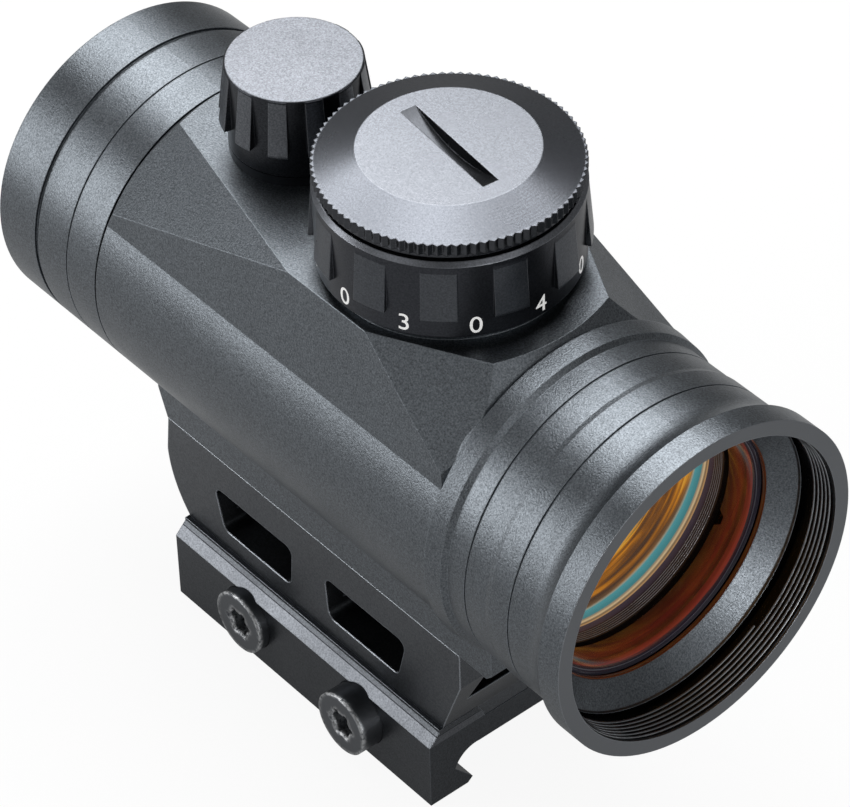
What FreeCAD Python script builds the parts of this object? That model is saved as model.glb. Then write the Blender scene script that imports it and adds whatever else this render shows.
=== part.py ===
import FreeCAD, Part
import math
import os
import re
import Sketcher

# Tube red dot sight on a riser with a rail clamp, in millimetres.
# +X points to the objective, +Z up, and the origin lies on the rail seat, at the clamp's middle.
# The optical parts are drawn about the optical axis, then lifted by axis_height.

doc = FreeCAD.newDocument("red_dot_sight")
Vector = FreeCAD.Vector
Rotation = FreeCAD.Rotation
X_AXIS, Y_AXIS, Z_AXIS = Vector(1, 0, 0), Vector(0, 1, 0), Vector(0, 0, 1)

# ---------------------------------------------------------------- driving dimensions
SIZES = {
    # overall
    "axis_height": 38.7,          # optical axis above the rail seat
    "front_reach": 50.33,         # rail seat's middle to the objective rim
    "tube_length": 95.45,         # objective rim to eyepiece rim
    "tube_radius": 18.95,
    "tube_wall": 1.95,
    "running_gap": 0.05,          # radial clearance of everything that turns or slides
    # objective bell, setbacks counted back from the rim
    "rim_flare": 1.05,            # rim beyond the tube
    "rim_width": 3.1,
    "cove_end": 6.0,
    "step_setback": 11.8,
    "step_length": 0.65,
    "step_depth": 0.12,
    "collar_setback": 18.4,
    "collar_chamfer": 0.5,
    "collar_rise": 0.45,          # collar front edge above the tube
    "collar_taper": 0.2,
    "front_bell_share": 0.222106,  # 21.2 mm, as a share of the tube's length
    "front_seam": 0.4,            # shadow gap between the bell and the body
    "mouth_wall": 0.75,
    "mouth_depth": 3.6,
    "relief_depth": 0.4,
    "relief_end": 4.9,
    "cone_start": 5.3,
    "cone_end": 7.2,
    "cone_front_wall": 1.05,
    "cone_back_wall": 3.75,
    "cone_lip": 0.5,
    "hairline_width": 0.22,
    "hairline_depth": 0.2,
    "hairline_front": 8.8,
    "hairline_middle": 15.6,
    # eyepiece bell
    "rear_bell_share": 0.183342,  # 17.5 mm
    "rear_seam": 0.27,
    "rear_hairline": 5.0,
    "rear_groove": 10.35,
    "rear_groove_width": 0.68,
    "rear_groove_depth": 0.35,
    "eye_flare": 0.8,
    "window_lip": 1.0,            # wall behind the eyepiece window
    # screwed spigots that join both bells to the body
    "spigot_shoulder": 1.2,
    "spigot_length": 3.8,
    "spigot_room": 0.3,           # the sockets are this much deeper
    "chamber_wall": 2.25,
    "seal_thickness": 0.6,        # rubber rings in the two seams
    # housing block over the tube
    "block_rise": 0.6,            # block's top above the tube
    "block_side_inset": 4.63,
    "block_lean": 12.5,           # side walls' lean from vertical, degrees
    "block_foot": 6.0,            # the block's walls start here, inside the tube
    "block_front_inset": 2.3,     # the facets start this far inside the body's ends
    "block_back_inset": 1.78,
    "front_facet_run": 12.3,      # how far back the front corner facets reach
    "front_facet_width": 6.4,
    "back_facet_run": 27.3,
    "back_facet_width": 6.9,
    "facet_slope": 43.7,          # just clears the tube at its rear end
    # pedestal under the tube
    "pedestal_half_width": 12.27,
    "pedestal_rise": 1.05,        # pedestal's foot below the tube
    "pedestal_front_reach": 2.1,  # reaches under the front bell's collar
    "pedestal_back_inset": 0.78,
    "pedestal_front_edge": 0.8,
    "pedestal_back_run": 1.4,
    "pedestal_back_rise": 3.7,
    "saddle_gap": 0.15,           # air under the bell's collar
    # optics inside
    "inner_gap": 0.9,             # air around the inner tube's cell
    "inner_wall": 0.8,
    "inner_front_setback": 8.2,
    "inner_back_inset": 5.48,     # inner tube's end ahead of the body's end
    "cell_length": 6.5,
    "lens_edge": 2.8,
    "lens_curve": 145.0,          # both faces' radius
    "lens_gap": 0.1,
    "lens_ring_length": 1.7,
    "notch_width": 1.2,           # spanner notches in both retaining rings
    "notch_depth": 0.8,
    "window_step": 0.5,           # window's edge inside the chamber
    "window_thickness": 2.2,
    "window_setback": 4.6,
    "window_ring_length": 1.8,
    "window_ring_wall": 1.2,
    "pivot_inset": 6.4,           # gimbal behind the body's front end
    "gimbal_width": 4.0,
    "gimbal_inner_gap": 0.35,
    "gimbal_outer_gap": 0.45,
    "pin_radius": 0.7,
    "pin_hold": 1.2,              # upright pins stand this deep in the housing's wall
    "pin_setback": 0.1,
    "spring_length": 22.0,
    "spring_crown": 6.0,
    "spring_width": 5.0,
    "spring_thickness": 0.25,
    "spring_gap": 0.8,
    "spring_wall_gap": 0.3,
    "spring_inset": 5.03,         # leaf's rear foot ahead of the body's end
    "emitter_setback": 1.0,
    "emitter_reach": 3.5,
    "emitter_length": 3.5,
    "emitter_width": 7.0,
    "diode_drop": 1.0,            # diode's middle below the arm's top
    "diode_radius": 1.0,
    "diode_length": 3.0,
    # elevation and windage turrets, heights above the optical axis
    "knob_gap": 2.18,             # air between the dial's pads and the elevation cap's
    "turret_flange_radius": 7.45,
    "turret_flange": 1.15,
    "turret_neck_radius": 5.0,
    "turret_boss_radius": 6.0,
    "turret_boss": 5.6,
    "turret_pocket": 1.65,        # adjuster's seat above the block
    "bore_setback": 0.2,          # what is set in the wall stays this far out of the bore
    "adjuster_shank": 4.05,
    "adjuster_head_radius": 5.4,
    "adjuster_head": 1.6,
    "adjuster_slot": 1.0,
    "adjuster_slot_depth": 0.9,
    "adjuster_end_gap": 0.8,      # tapped hole's end above the plunger
    "plunger_side": 3.0,
    "plunger_gap": 0.1,
    "plunger_square": 5.1,
    "plunger_thread_radius": 1.4,
    "plunger_thread": 5.0,
    "turret_cap_height": 10.0,
    "turret_cap_roof": 2.2,
    "cap_seam": 0.08,
    "cap_rim_chamfer": 0.15,
    "cap_pad_bottom": 3.1,        # pads end this far above the cap's lower edge
    "cap_pad_rise": 0.9,
    "cap_pad_angle": 7.5,         # first pad's azimuth
    "pad_count": 12,
    "pad_root": 0.3,              # how deep a pad is rooted in its knob
    "pad_edge": 0.25,             # upright strip at a pad's foot
    "pad_fade": 0.05,
    "seal_section": 0.8,
    "seal_gap": 0.05,
    "windage_boss_radius": 8.35,
    # brightness dial and battery
    "dial_share": 0.412467,       # dial behind the rim, as a share of the tube's length
    "dial_radius": 14.15,
    "dial_lift": 1.15,            # dial's lower edge above the block
    "dial_height": 9.68,
    "dial_flare": 0.1,
    "dial_web": 1.5,
    "dial_web_lift": 0.3,
    "dial_web_bore": 7.6,
    "dial_chamfer": 0.45,
    "dial_pad_bottom": 2.5,
    "dial_pad_rise": 0.6,
    "dial_pad_angle": 15.0,       # first pad's azimuth; the digits stand between the pads
    "collar_height": 0.95,
    "collar_outer": 13.2,
    "collar_gap": 0.15,
    "switch_recess": 12.6,
    "switch_depth": 1.15,
    "board_thickness": 1.0,
    "board_gap": 0.3,
    "washer_thickness": 0.3,
    "washer_gap": 0.1,
    "washer_outer": 11.5,
    "wiper_radius": 9.5,
    "wiper_width": 2.2,
    "wiper_thickness": 0.25,
    "wiper_count": 3,
    "finger_radius": 0.5,
    "neck_radius": 7.0,
    "cup_radius": 12.0,
    "cup_gap": 0.08,
    "cup_floor": 1.3,
    "cup_height": 7.3,
    "cell_radius": 10.0,
    "cell_thickness": 3.2,
    "cell_gap": 0.3,
    "cell_base_radius": 8.8,
    "cell_base_step": 0.35,
    "cell_crimp": 0.2,
    "contact_height": 0.7,
    "contact_inner": 3.0,
    "contact_outer": 6.4,
    "contact_tip": 1.6,
    "contact_thickness": 0.2,
    "cap_thread_radius": 11.0,
    "cap_skirt_inner": 8.8,
    "battery_cap_radius": 14.2,
    "knurl_height": 1.34,
    "knurl_depth": 0.35,
    "knurl_count": 92,
    "cap_lip": 0.5,
    "cap_lip_inset": 0.45,
    "cap_gap": 0.47,
    "crown_rise": 1.52,
    "crown_radius": 9.59,
    "coin_slot_length": 15.0,
    "coin_slot_width": 1.9,
    "coin_slot_depth": 1.5,
    "coin_slot_angle": -6.1,
    # riser between the pedestal and the clamp, lengths from the rail seat's middle
    "riser_bottom": 5.3,          # above the rail seat
    "riser_front": 25.63,
    "riser_back": 25.07,
    "riser_front_foot": 22.5,
    "riser_back_foot": 22.1,
    "riser_shoulder_drop": 5.0,   # below the riser's top
    "riser_back_bulge": 0.6,
    "tongue_depth": 2.0,
    "tongue_half_width": 6.28,
    "tongue_taper": 0.98,
    "tongue_lap": 1.0,
    "window_roof": 5.0,
    "window_floor": 7.9,
    "web_half_width": 2.85,
    "window_outer": 16.85,
    "window_slant": 1.5,
    "web_slant": 0.5,
    "window_corner_share": 0.19,  # corner radius as a share of the window's height
    "window_centre": -0.3,
    "riser_roof": 4.7,            # solid metal over the tunnel
    "tunnel_floor": 9.6,
    "tunnel_top_half": 8.5,
    "tunnel_floor_half": 10.0,
    # rail clamp
    "clamp_length": 45.1,
    "clamp_half_width": 14.25,
    "clamp_shoulder": 12.8,
    "clamp_bevel_top": 4.9,
    "clamp_bevel_low": 3.4,
    "jaw_depth": 5.6,
    "rail_half_width": 10.65,     # a 21.2 mm rail with a little room
    "rail_notch": 2.2,
    "jaw_tip": 8.2,
    "jaw_tip_depth": 5.0,
    "jaw_toe": 0.7,
    "jaw_edge": 0.4,
    "roof_bend": 0.3,             # share of the notch where the jaw's face turns into the roof
    "roof_half_width": 7.1,
    "jaw_split": 9.4,
    "jaw_gap": 0.1,
    "jaw_top": 3.0,
    "bolt_pitch": 20.02,          # two slots of a rail, 10.01 mm apart each
    "bolt_shift": 0.45,
    "bolt_drop": 0.2,
    "bolt_radius": 2.4,
    "bolt_head_radius": 3.9,
    "bolt_head_length": 4.2,
    "bolt_tail": 15.2,
    "front_head_out": 2.75,
    "rear_head_out": 1.35,
    "star_count": 6,
    "star_core": 1.55,
    "star_lobe": 0.45,
    "star_depth": 2.2,
    # M3 countersunk screws
    "screw_radius": 1.5,
    "screw_head_radius": 2.75,
    "screw_head": 1.7,
    "riser_screw_x": 12.5,
    "riser_screw_y": 5.5,
    "riser_screw_grip": 2.3,      # length of each screw in the pedestal
    "access_radius": 3.1,
    "clamp_screw_x": 18.8,
    "clamp_screw_length": 6.6,
}

# what follows from the tube's radius and a wall or a gap
DERIVED = {
    "bore_radius": "tube_radius - tube_wall",
    "rim_radius": "tube_radius + rim_flare",
    "mouth_radius": "tube_radius - mouth_wall",
    "cone_front_radius": "tube_radius - cone_front_wall",
    "cone_back_radius": "tube_radius - cone_back_wall",
    "spigot_radius": "tube_radius - spigot_shoulder",
    "chamber_radius": "tube_radius - chamber_wall",
    "block_top": "tube_radius + block_rise",              # above the optical axis
    "block_half_width": "tube_radius - block_side_inset",
    "pedestal_drop": "tube_radius + pedestal_rise",       # below the optical axis
    "inner_radius": "bore_radius - inner_wall - inner_gap",
    "lens_radius": "inner_radius - running_gap",
    "gimbal_inner": "inner_radius + gimbal_inner_gap",
    "gimbal_outer": "bore_radius - gimbal_outer_gap",
    "window_radius": "chamber_radius - window_step",
    "window_ring_inner": "window_radius - window_ring_wall",
}

sheet = doc.addObject("Spreadsheet::Sheet", "sizes")
cells = list(SIZES.items()) + [(alias, "=" + formula) for alias, formula in DERIVED.items()]
for row, (alias, content) in enumerate(cells, start=1):
    sheet.set("A%d" % row, alias)
    sheet.set("B%d" % row, str(content))
    sheet.setAlias("B%d" % row, alias)
doc.recompute()


def size(alias):
    """A driving dimension, read back from the spreadsheet."""
    return float(sheet.get(alias))


def bound(formula):
    """Turn a formula in plain aliases into one that FreeCAD binds to the sheet."""
    return re.sub(r"\b([a-z]+_[a-z_]+)\b", r"sizes.\1", formula)


probe = doc.addObject("Part::Vertex", "probe")


def formula_value(formula):
    """What a formula comes to now, worked out by the document."""
    probe.setExpression("X", bound(formula))
    probe.recompute()
    return float(probe.X)


def place(obj, at=("0", "0", "0"), turn=None):
    """Bind an object's position to formulas; turn is a Rotation."""
    if turn is not None:
        obj.Placement = FreeCAD.Placement(Vector(), turn)
    for letter, formula in zip("xyz", at):
        obj.setExpression("Placement.Base." + letter, bound(formula))
    return obj


# ---------------------------------------------------------------- building blocks
def cylinder(name, radius, length, at=("0", "0", "0"), along="Z"):
    """A bound cylinder that starts at a point and runs along +X, +Y or +Z."""
    turns = {"X": Rotation(Y_AXIS, 90), "Y": Rotation(X_AXIS, -90), "Z": Rotation()}
    obj = doc.addObject("Part::Cylinder", name)
    obj.setExpression("Radius", bound(radius))
    obj.setExpression("Height", bound(length))
    return place(obj, at, turns[along])


def ball(name, radius, at):
    """A bound sphere, its poles on X."""
    obj = doc.addObject("Part::Sphere", name)
    obj.setExpression("Radius", bound(radius))
    return place(obj, at, Rotation(Y_AXIS, 90))


def box(name, length, width, height, at):
    """A bound box, given by its three edges and its low corner."""
    obj = doc.addObject("Part::Box", name)
    obj.setExpression("Length", bound(length))
    obj.setExpression("Width", bound(width))
    obj.setExpression("Height", bound(height))
    return place(obj, at)


def fuse(name, *parts):
    obj = doc.addObject("Part::MultiFuse", name)
    obj.Shapes = list(parts)
    return obj


def cut(name, base, *tools):
    obj = doc.addObject("Part::Cut", name)
    obj.Base = base
    obj.Tool = tools[0] if len(tools) == 1 else fuse(name + "_tools", *tools)
    return obj


def common(name, first, second):
    obj = doc.addObject("Part::MultiCommon", name)
    obj.Shapes = [first, second]
    return obj


def pin_point(sketch, geometry, end, point):
    """Bind one end of a sketch's line, arc or point to its two formulas."""
    for kind, formula in zip(("DistanceX", "DistanceY"), point):
        value = formula_value(formula)
        index = sketch.addConstraint(Sketcher.Constraint(kind, -1, 1, geometry, end, value))
        sketch.setExpression("Constraints[%d]" % index, bound(formula))


def outline(body, plane, points, offset="0"):
    """A closed sketch on an origin plane; each corner is a pair of formulas.

    A point marked "arc" is a point that the round stretch between its neighbours passes through.
    """
    sketch = body.newObject("Sketcher::SketchObject", body.Name + "_sketch")
    support = [o for o in body.Origin.OriginFeatures if o.Role == plane][0]
    sketch.AttachmentSupport = [(support, "")]
    sketch.MapMode = "FlatFace"
    sketch.setExpression("AttachmentOffset.Base.z", bound(offset))
    spots = [Vector(formula_value(point[0]), formula_value(point[1]), 0) for point in points]
    corners = [k for k, point in enumerate(points) if len(point) == 2]
    leaving = []
    arriving = []
    for n, k in enumerate(corners):
        middle = (k + 1) % len(points)
        after = corners[(n + 1) % len(corners)]
        # an arc runs anticlockwise in a sketch, so a clockwise one is drawn from its far end
        clockwise = (spots[middle] - spots[k]).cross(spots[after] - spots[middle]).z < 0
        if middle == after:
            clockwise = False
            sketch.addGeometry(Part.LineSegment(spots[k], spots[after]), False)
        elif clockwise:
            sketch.addGeometry(Part.Arc(spots[after], spots[middle], spots[k]), False)
        else:
            sketch.addGeometry(Part.Arc(spots[k], spots[middle], spots[after]), False)
        leaving.append(2 if clockwise else 1)
        arriving.append(1 if clockwise else 2)
    for n, k in enumerate(corners):
        following = (n + 1) % len(corners)
        sketch.addConstraint(Sketcher.Constraint("Coincident", n, arriving[n],
                                                 following, leaving[following]))
        pin_point(sketch, n, leaving[n], points[k])
    for n, k in enumerate(corners):
        middle = (k + 1) % len(points)
        if middle != corners[(n + 1) % len(corners)]:
            through = sketch.addGeometry(Part.Point(spots[middle]), True)
            pin_point(sketch, through, 1, points[middle])
            sketch.addConstraint(Sketcher.Constraint("PointOnObject", through, 1, n))
    return sketch


def turned(name, points, about="X"):
    """A lathe part: the outline, given as (along, radius), revolved about X or Z."""
    body = doc.addObject("PartDesign::Body", name)
    if about == "Z":
        points = [(point[1], point[0]) + tuple(point[2:]) for point in points]
    sketch = outline(body, "XZ_Plane", points)
    feature = body.newObject("PartDesign::Revolution", name + "_turn")
    feature.Profile = sketch
    feature.ReferenceAxis = (sketch, ["H_Axis" if about == "X" else "V_Axis"])
    feature.Angle = 360
    return body


def prism(name, plane, points, length, offset="0", midplane=False):
    """A straight-sided part: the outline padded along its plane's normal."""
    body = doc.addObject("PartDesign::Body", name)
    sketch = outline(body, plane, points, offset)
    feature = body.newObject("PartDesign::Pad", name + "_pad")
    feature.Profile = sketch
    feature.Midplane = midplane
    feature.setExpression("Length", bound(length))
    return body


def named(obj, label, at=("0", "0", "0"), turn=None):
    """Finish a sub-part: its label is its node name."""
    obj.Label = label
    nodes.append(obj)
    return place(obj, at, turn)


nodes = []
ON_AXIS = ("0", "0", "axis_height")
FRONT = "front_reach"
BACK = "(front_reach - tube_length)"
FRONT_BELL = "(tube_length * front_bell_share)"
REAR_BELL = "(tube_length * rear_bell_share)"
BODY_FRONT = "(front_reach - %s - front_seam)" % FRONT_BELL
BODY_BACK = "(front_reach - tube_length + %s + rear_seam)" % REAR_BELL
PIVOT = "(%s - pivot_inset)" % BODY_FRONT
DIAL = "(front_reach - tube_length * dial_share)"
# the elevation and windage turrets stand behind the dial, clear of its pads
TURRET = ("(%s - dial_radius - dial_pad_rise - turret_flange_radius - cap_pad_rise - knob_gap)"
          % DIAL)
INNER_BACK = "(%s + inner_back_inset)" % BODY_BACK
# the riser fills what is left between the clamp and the pedestal
RISER_TOP = "(axis_height - pedestal_drop)"
RISER_SHOULDER = "(%s - riser_shoulder_drop)" % RISER_TOP
WINDOW_TOP = "(%s - window_roof)" % RISER_TOP
TUNNEL_TOP = "(%s - riser_roof)" % RISER_TOP
RISER_SCREW = "(riser_roof + riser_screw_grip)"


# ---------------------------------------------------------------- objective bell
def front_bell():
    low = "tube_radius - step_depth"
    end = "front_reach - " + FRONT_BELL
    points = [
        ("front_reach", "mouth_radius"),
        ("front_reach", "rim_radius"),
        ("front_reach - rim_width", "rim_radius"),
        ("front_reach - (rim_width + cove_end) / 2", "tube_radius + (rim_radius - tube_radius) / 4",
         "arc"),
        ("front_reach - cove_end", "tube_radius"),
    ]
    points += hairline("hairline_front", "tube_radius")
    points += [
        ("front_reach - step_setback", "tube_radius"),
        ("front_reach - step_setback - step_length", low),
    ]
    points += hairline("hairline_middle", low)
    points += [
        ("front_reach - collar_setback", low),
        ("front_reach - collar_setback - collar_chamfer", "tube_radius + collar_rise"),
        (end, "tube_radius + collar_rise + collar_taper"),
        (end, "spigot_radius"),
        (end + " - spigot_length", "spigot_radius"),
        (end + " - spigot_length", "chamber_radius"),
        ("front_reach - cone_end - cone_lip", "chamber_radius"),
        ("front_reach - cone_end - cone_lip", "cone_back_radius"),
        ("front_reach - cone_end", "cone_back_radius"),
        ("front_reach - cone_start", "cone_front_radius"),
        ("front_reach - relief_end", "cone_front_radius"),
        ("front_reach - relief_end", "mouth_radius + relief_depth"),
        ("front_reach - mouth_depth", "mouth_radius + relief_depth"),
        ("front_reach - mouth_depth", "mouth_radius"),
    ]
    return turned("bell_front", points)


def hairline(setback, radius):
    """Four corners of a thin turned groove at a setback from the rim."""
    depth = "%s - hairline_depth" % radius
    return [
        ("front_reach - %s" % setback, radius),
        ("front_reach - %s" % setback, depth),
        ("front_reach - %s - hairline_width" % setback, depth),
        ("front_reach - %s - hairline_width" % setback, radius),
    ]


named(front_bell(), "front_bell", ON_AXIS)


# ---------------------------------------------------------------- eyepiece bell
def rear_bell():
    face = "%s + %s" % (BACK, REAR_BELL)
    groove = face + " - rear_groove"
    hair = face + " - rear_hairline"
    shoulder = "%s + window_setback + window_thickness" % BACK
    points = [
        (face, "tube_radius"),
        (hair, "tube_radius"),
        (hair, "tube_radius - hairline_depth"),
        (hair + " - hairline_width", "tube_radius - hairline_depth"),
        (hair + " - hairline_width", "tube_radius"),
        (groove, "tube_radius"),
        (groove, "tube_radius - rear_groove_depth"),
        (groove + " - rear_groove_width", "tube_radius - rear_groove_depth"),
        (groove + " - rear_groove_width", "tube_radius"),
        (BACK, "tube_radius"),
        (BACK, "window_radius + running_gap + eye_flare"),
        (BACK + " + window_setback - window_ring_length", "window_radius + running_gap"),
        (shoulder, "window_radius + running_gap"),
        (shoulder, "window_ring_inner"),
        (shoulder + " + window_lip", "window_ring_inner"),
        (shoulder + " + window_lip", "chamber_radius"),
        (face + " + spigot_length", "chamber_radius"),
        (face + " + spigot_length", "spigot_radius"),
        (face, "spigot_radius"),
    ]
    return turned("bell_rear", points)


named(rear_bell(), "rear_bell", ON_AXIS)


# ---------------------------------------------------------------- main housing
def half_space(name, corner, normal):
    """A big block beyond a plane, to slice a facet off the housing block."""
    reach = size("tube_length")
    blank = Part.makeBox(2 * reach, 2 * reach, reach, Vector(-reach, -reach, 0))
    obj = doc.addObject("Part::Feature", name)
    obj.Shape = blank
    obj.Placement = FreeCAD.Placement(corner, Rotation(Z_AXIS, normal))
    return obj


def facets():
    """Four corner facets: two short ones in front, two long ones behind."""
    slope = math.radians(size("facet_slope"))
    front = formula_value(BODY_FRONT + " - block_front_inset")
    back = formula_value(BODY_BACK + " + block_back_inset")
    ends = (("front", front, 1, size("front_facet_run"), size("front_facet_width")),
            ("back", back, -1, size("back_facet_run"), size("back_facet_width")))
    cutters = []
    for end, x_end, way, run, width in ends:
        for side, hand in (("left", 1), ("right", -1)):
            edge = Vector(-way * run, hand * width, 0)
            fall = Vector(0, hand * math.cos(slope), -math.sin(slope))
            normal = edge.cross(fall)
            if normal.z < 0:
                normal = -normal
            inner = hand * (size("block_half_width") - width)
            corner = Vector(x_end, inner, size("block_top"))
            cutters.append(half_space("facet_%s_%s" % (end, side), corner, normal))
    return cutters


def main_housing():
    barrel = cylinder("barrel", "tube_radius", "%s - %s" % (BODY_FRONT, BODY_BACK),
                      (BODY_BACK, "0", "0"), "X")
    foot_half = "(block_half_width + (block_top - block_foot) * tan(block_lean))"
    block = prism("housing_block", "YZ_Plane", [
        ("block_half_width", "block_top"),
        ("-block_half_width", "block_top"),
        ("-" + foot_half, "block_foot"),
        (foot_half, "block_foot"),
    ], "%s - %s" % (BODY_FRONT, BODY_BACK), offset=BODY_BACK)
    faceted = cut("faceted_block", block, *facets())
    # both ends of the block are turned down to the tube at 45 degrees
    envelope = turned("turned_envelope", [
        (BODY_FRONT, "0"),
        (BODY_FRONT, "tube_radius"),
        (BODY_FRONT + " - tube_radius", "2 * tube_radius"),
        (BODY_BACK + " + tube_radius", "2 * tube_radius"),
        (BODY_BACK, "tube_radius"),
        (BODY_BACK, "0"),
    ])
    crown = common("housing_crown", faceted, envelope)
    foot_front = BODY_FRONT + " + pedestal_front_reach"
    foot_back = BODY_BACK + " + pedestal_back_inset"
    pedestal = prism("pedestal_block", "XZ_Plane", [
        (foot_back, "-bore_radius / 2"),
        (foot_back, "-pedestal_drop + pedestal_back_rise"),
        (foot_back + " + pedestal_back_run", "-pedestal_drop"),
        (foot_front + " - pedestal_front_edge", "-pedestal_drop"),
        (foot_front, "-pedestal_drop + pedestal_front_edge"),
        (foot_front, "-bore_radius / 2"),
    ], "2 * pedestal_half_width", midplane=True)
    saddle = cylinder("saddle_cut", "tube_radius + collar_rise + collar_taper + saddle_gap",
                      FRONT_BELL, (BODY_FRONT, "0", "0"), "X")
    pedestal_cut = cut("pedestal", pedestal, saddle)
    side_boss = cylinder("windage_boss", "windage_boss_radius", "block_top",
                         (TURRET, "0", "0"), "Y")
    dial_collar = cylinder("dial_collar", "collar_outer", "block_top + collar_height - bore_radius",
                           (DIAL, "0", "bore_radius"))
    blank = fuse("housing_blank", barrel, crown, pedestal_cut, side_boss, dial_collar)
    bore = cylinder("tube_bore", "bore_radius", "tube_length", (BACK, "0", "0"), "X")
    socket_length = "spigot_length + spigot_room"
    front_socket = cylinder("front_socket", "spigot_radius + running_gap", socket_length,
                            (BODY_FRONT + " + front_seam - (%s)" % socket_length, "0", "0"), "X")
    rear_socket = cylinder("rear_socket", "spigot_radius + running_gap", socket_length,
                           (BODY_BACK + " - rear_seam", "0", "0"), "X")
    elevation_hole = cylinder("elevation_hole", "turret_neck_radius", "block_top",
                              (TURRET, "0", "0"))
    windage_hole = cylinder("windage_hole", "turret_neck_radius", "block_top",
                            (TURRET, "0", "0"), "Y")
    switch_recess = cylinder("switch_recess_cut", "switch_recess", "2 * (switch_depth + collar_height)",
                             (DIAL, "0", "block_top - switch_depth"))
    neck_hole = cylinder("neck_hole", "neck_radius", "block_top", (DIAL, "0", "0"))
    pin_holes = cylinder("pin_holes", "pin_radius", "2 * (bore_radius + pin_hold)",
                         (PIVOT, "0", "-(bore_radius + pin_hold)"))
    screw_end = "%s + %s - axis_height" % (TUNNEL_TOP, RISER_SCREW)
    screw_holes = [cylinder("pedestal_thread", "screw_radius", RISER_SCREW,
                            (x, y, "%s - %s" % (screw_end, RISER_SCREW)))
                   for x, y in riser_screw_places()]
    return cut("housing", blank, bore, front_socket, rear_socket, elevation_hole, windage_hole,
               switch_recess, neck_hole, pin_holes, *screw_holes)


def riser_screw_places():
    return [(x, y) for x in ("-riser_screw_x", "riser_screw_x")
            for y in ("-riser_screw_y", "riser_screw_y")]


named(main_housing(), "main_housing", ON_AXIS)


# ---------------------------------------------------------------- optics inside the tube
def inner_tube():
    front = "%s - inner_front_setback" % FRONT
    back = INNER_BACK
    cell_back = "%s - lens_ring_length - lens_gap - lens_edge" % front
    profile = turned("inner_tube_turned", [
        (front, "lens_radius + running_gap"),
        (front, "inner_radius + inner_wall"),
        (front + " - cell_length", "inner_radius + inner_wall"),
        (front + " - cell_length - inner_wall", "inner_radius"),
        (back, "inner_radius"),
        (back, "inner_radius - inner_wall"),
        (cell_back, "inner_radius - inner_wall"),
        (cell_back, "lens_radius + running_gap"),
    ])
    pins = cylinder("inner_pin_holes", "pin_radius + running_gap", "2 * gimbal_outer",
                    (PIVOT, "-gimbal_outer", "0"), "Y")
    return cut("inner_tube_drilled", profile, pins)


named(inner_tube(), "inner_tube", ON_AXIS)


def objective_lens():
    """A meniscus: both spherical faces bulge forward, so the glass is as thick all over."""
    rim = "(front_reach - inner_front_setback - lens_ring_length - lens_gap)"
    sag = "(lens_curve - sqrt(lens_curve ^ 2 - lens_radius ^ 2))"
    blank = cylinder("lens_blank", "lens_radius", "lens_edge + " + sag,
                     (rim + " - lens_edge", "0", "0"), "X")
    front = ball("lens_front", "lens_curve", (rim + " + " + sag + " - lens_curve", "0", "0"))
    back = ball("lens_back", "lens_curve",
                (rim + " - lens_edge + " + sag + " - lens_curve", "0", "0"))
    return cut("lens_ground", common("lens_domed", blank, front), back)


named(objective_lens(), "objective_lens", ON_AXIS)


def spanner_ring(name, front, length, outer, inner):
    """A threaded retaining ring with two spanner notches across its seen face."""
    ring = turned(name + "_turned", [
        (front, inner),
        (front, outer),
        ("%s - %s" % (front, length), outer),
        ("%s - %s" % (front, length), inner),
    ])
    return ring


def spanner_notch(name, face, outer):
    """The cutter for a ring's two notches, centred on its face."""
    return box(name, "2 * notch_depth", "2 * (%s) + notch_width" % outer, "notch_width",
               (face + " - notch_depth", "-(%s) - notch_width / 2" % outer, "-notch_width / 2"))


def objective_ring():
    front = "%s - inner_front_setback" % FRONT
    ring = spanner_ring("lens_ring", front, "lens_ring_length", "lens_radius + running_gap",
                        "inner_radius - inner_wall")
    return cut("lens_ring_cut", ring, spanner_notch("lens_ring_notch", front, "lens_radius"))


named(objective_ring(), "objective_retaining_ring", ON_AXIS)


def ocular_ring():
    seat = "%s + window_setback" % BACK
    back = seat + " - window_ring_length"
    ring = spanner_ring("eye_ring", seat, "window_ring_length", "window_radius + running_gap",
                        "window_ring_inner")
    return cut("eye_ring_cut", ring, spanner_notch("eye_ring_notch", back, "window_radius"))


window_at = (BACK + " + window_setback", "0", "axis_height")
named(cylinder("window_glass", "window_radius", "window_thickness"), "ocular_window", window_at,
      Rotation(Y_AXIS, 90))
named(ocular_ring(), "ocular_retaining_ring", ON_AXIS)


def gimbal():
    ring = turned("gimbal_turned", [
        (PIVOT + " - gimbal_width / 2", "gimbal_inner"),
        (PIVOT + " - gimbal_width / 2", "gimbal_outer"),
        (PIVOT + " + gimbal_width / 2", "gimbal_outer"),
        (PIVOT + " + gimbal_width / 2", "gimbal_inner"),
    ])
    upright = cylinder("gimbal_upright_holes", "pin_radius + running_gap", "2 * bore_radius",
                       (PIVOT, "0", "-bore_radius"))
    level = cylinder("gimbal_level_holes", "pin_radius", "2 * bore_radius",
                     (PIVOT, "-bore_radius", "0"), "Y")
    return cut("gimbal_drilled", ring, upright, level)


def pin_pair(name, inner, outer, along):
    """Two short pins opposite each other on one line through the optical axis."""
    length = "(%s) - (%s)" % (outer, inner)
    starts = (("0", inner), ("1", "-(%s)" % outer))
    pins = []
    for tag, start in starts:
        at = (PIVOT, "0", start) if along == "Z" else (PIVOT, start, "0")
        pins.append(cylinder("%s_%s" % (name, tag), "pin_radius", length, at, along))
    obj = doc.addObject("Part::Compound", name)
    obj.Links = pins
    return obj


named(gimbal(), "gimbal_ring", ON_AXIS)
named(pin_pair("upright_pins", "gimbal_inner + pin_setback", "bore_radius + pin_hold", "Z"),
      "gimbal_pins_upright", ON_AXIS)
named(pin_pair("level_pins", "inner_radius - inner_wall + pin_setback", "gimbal_outer", "Y"),
      "gimbal_pins_level", ON_AXIS)


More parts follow.
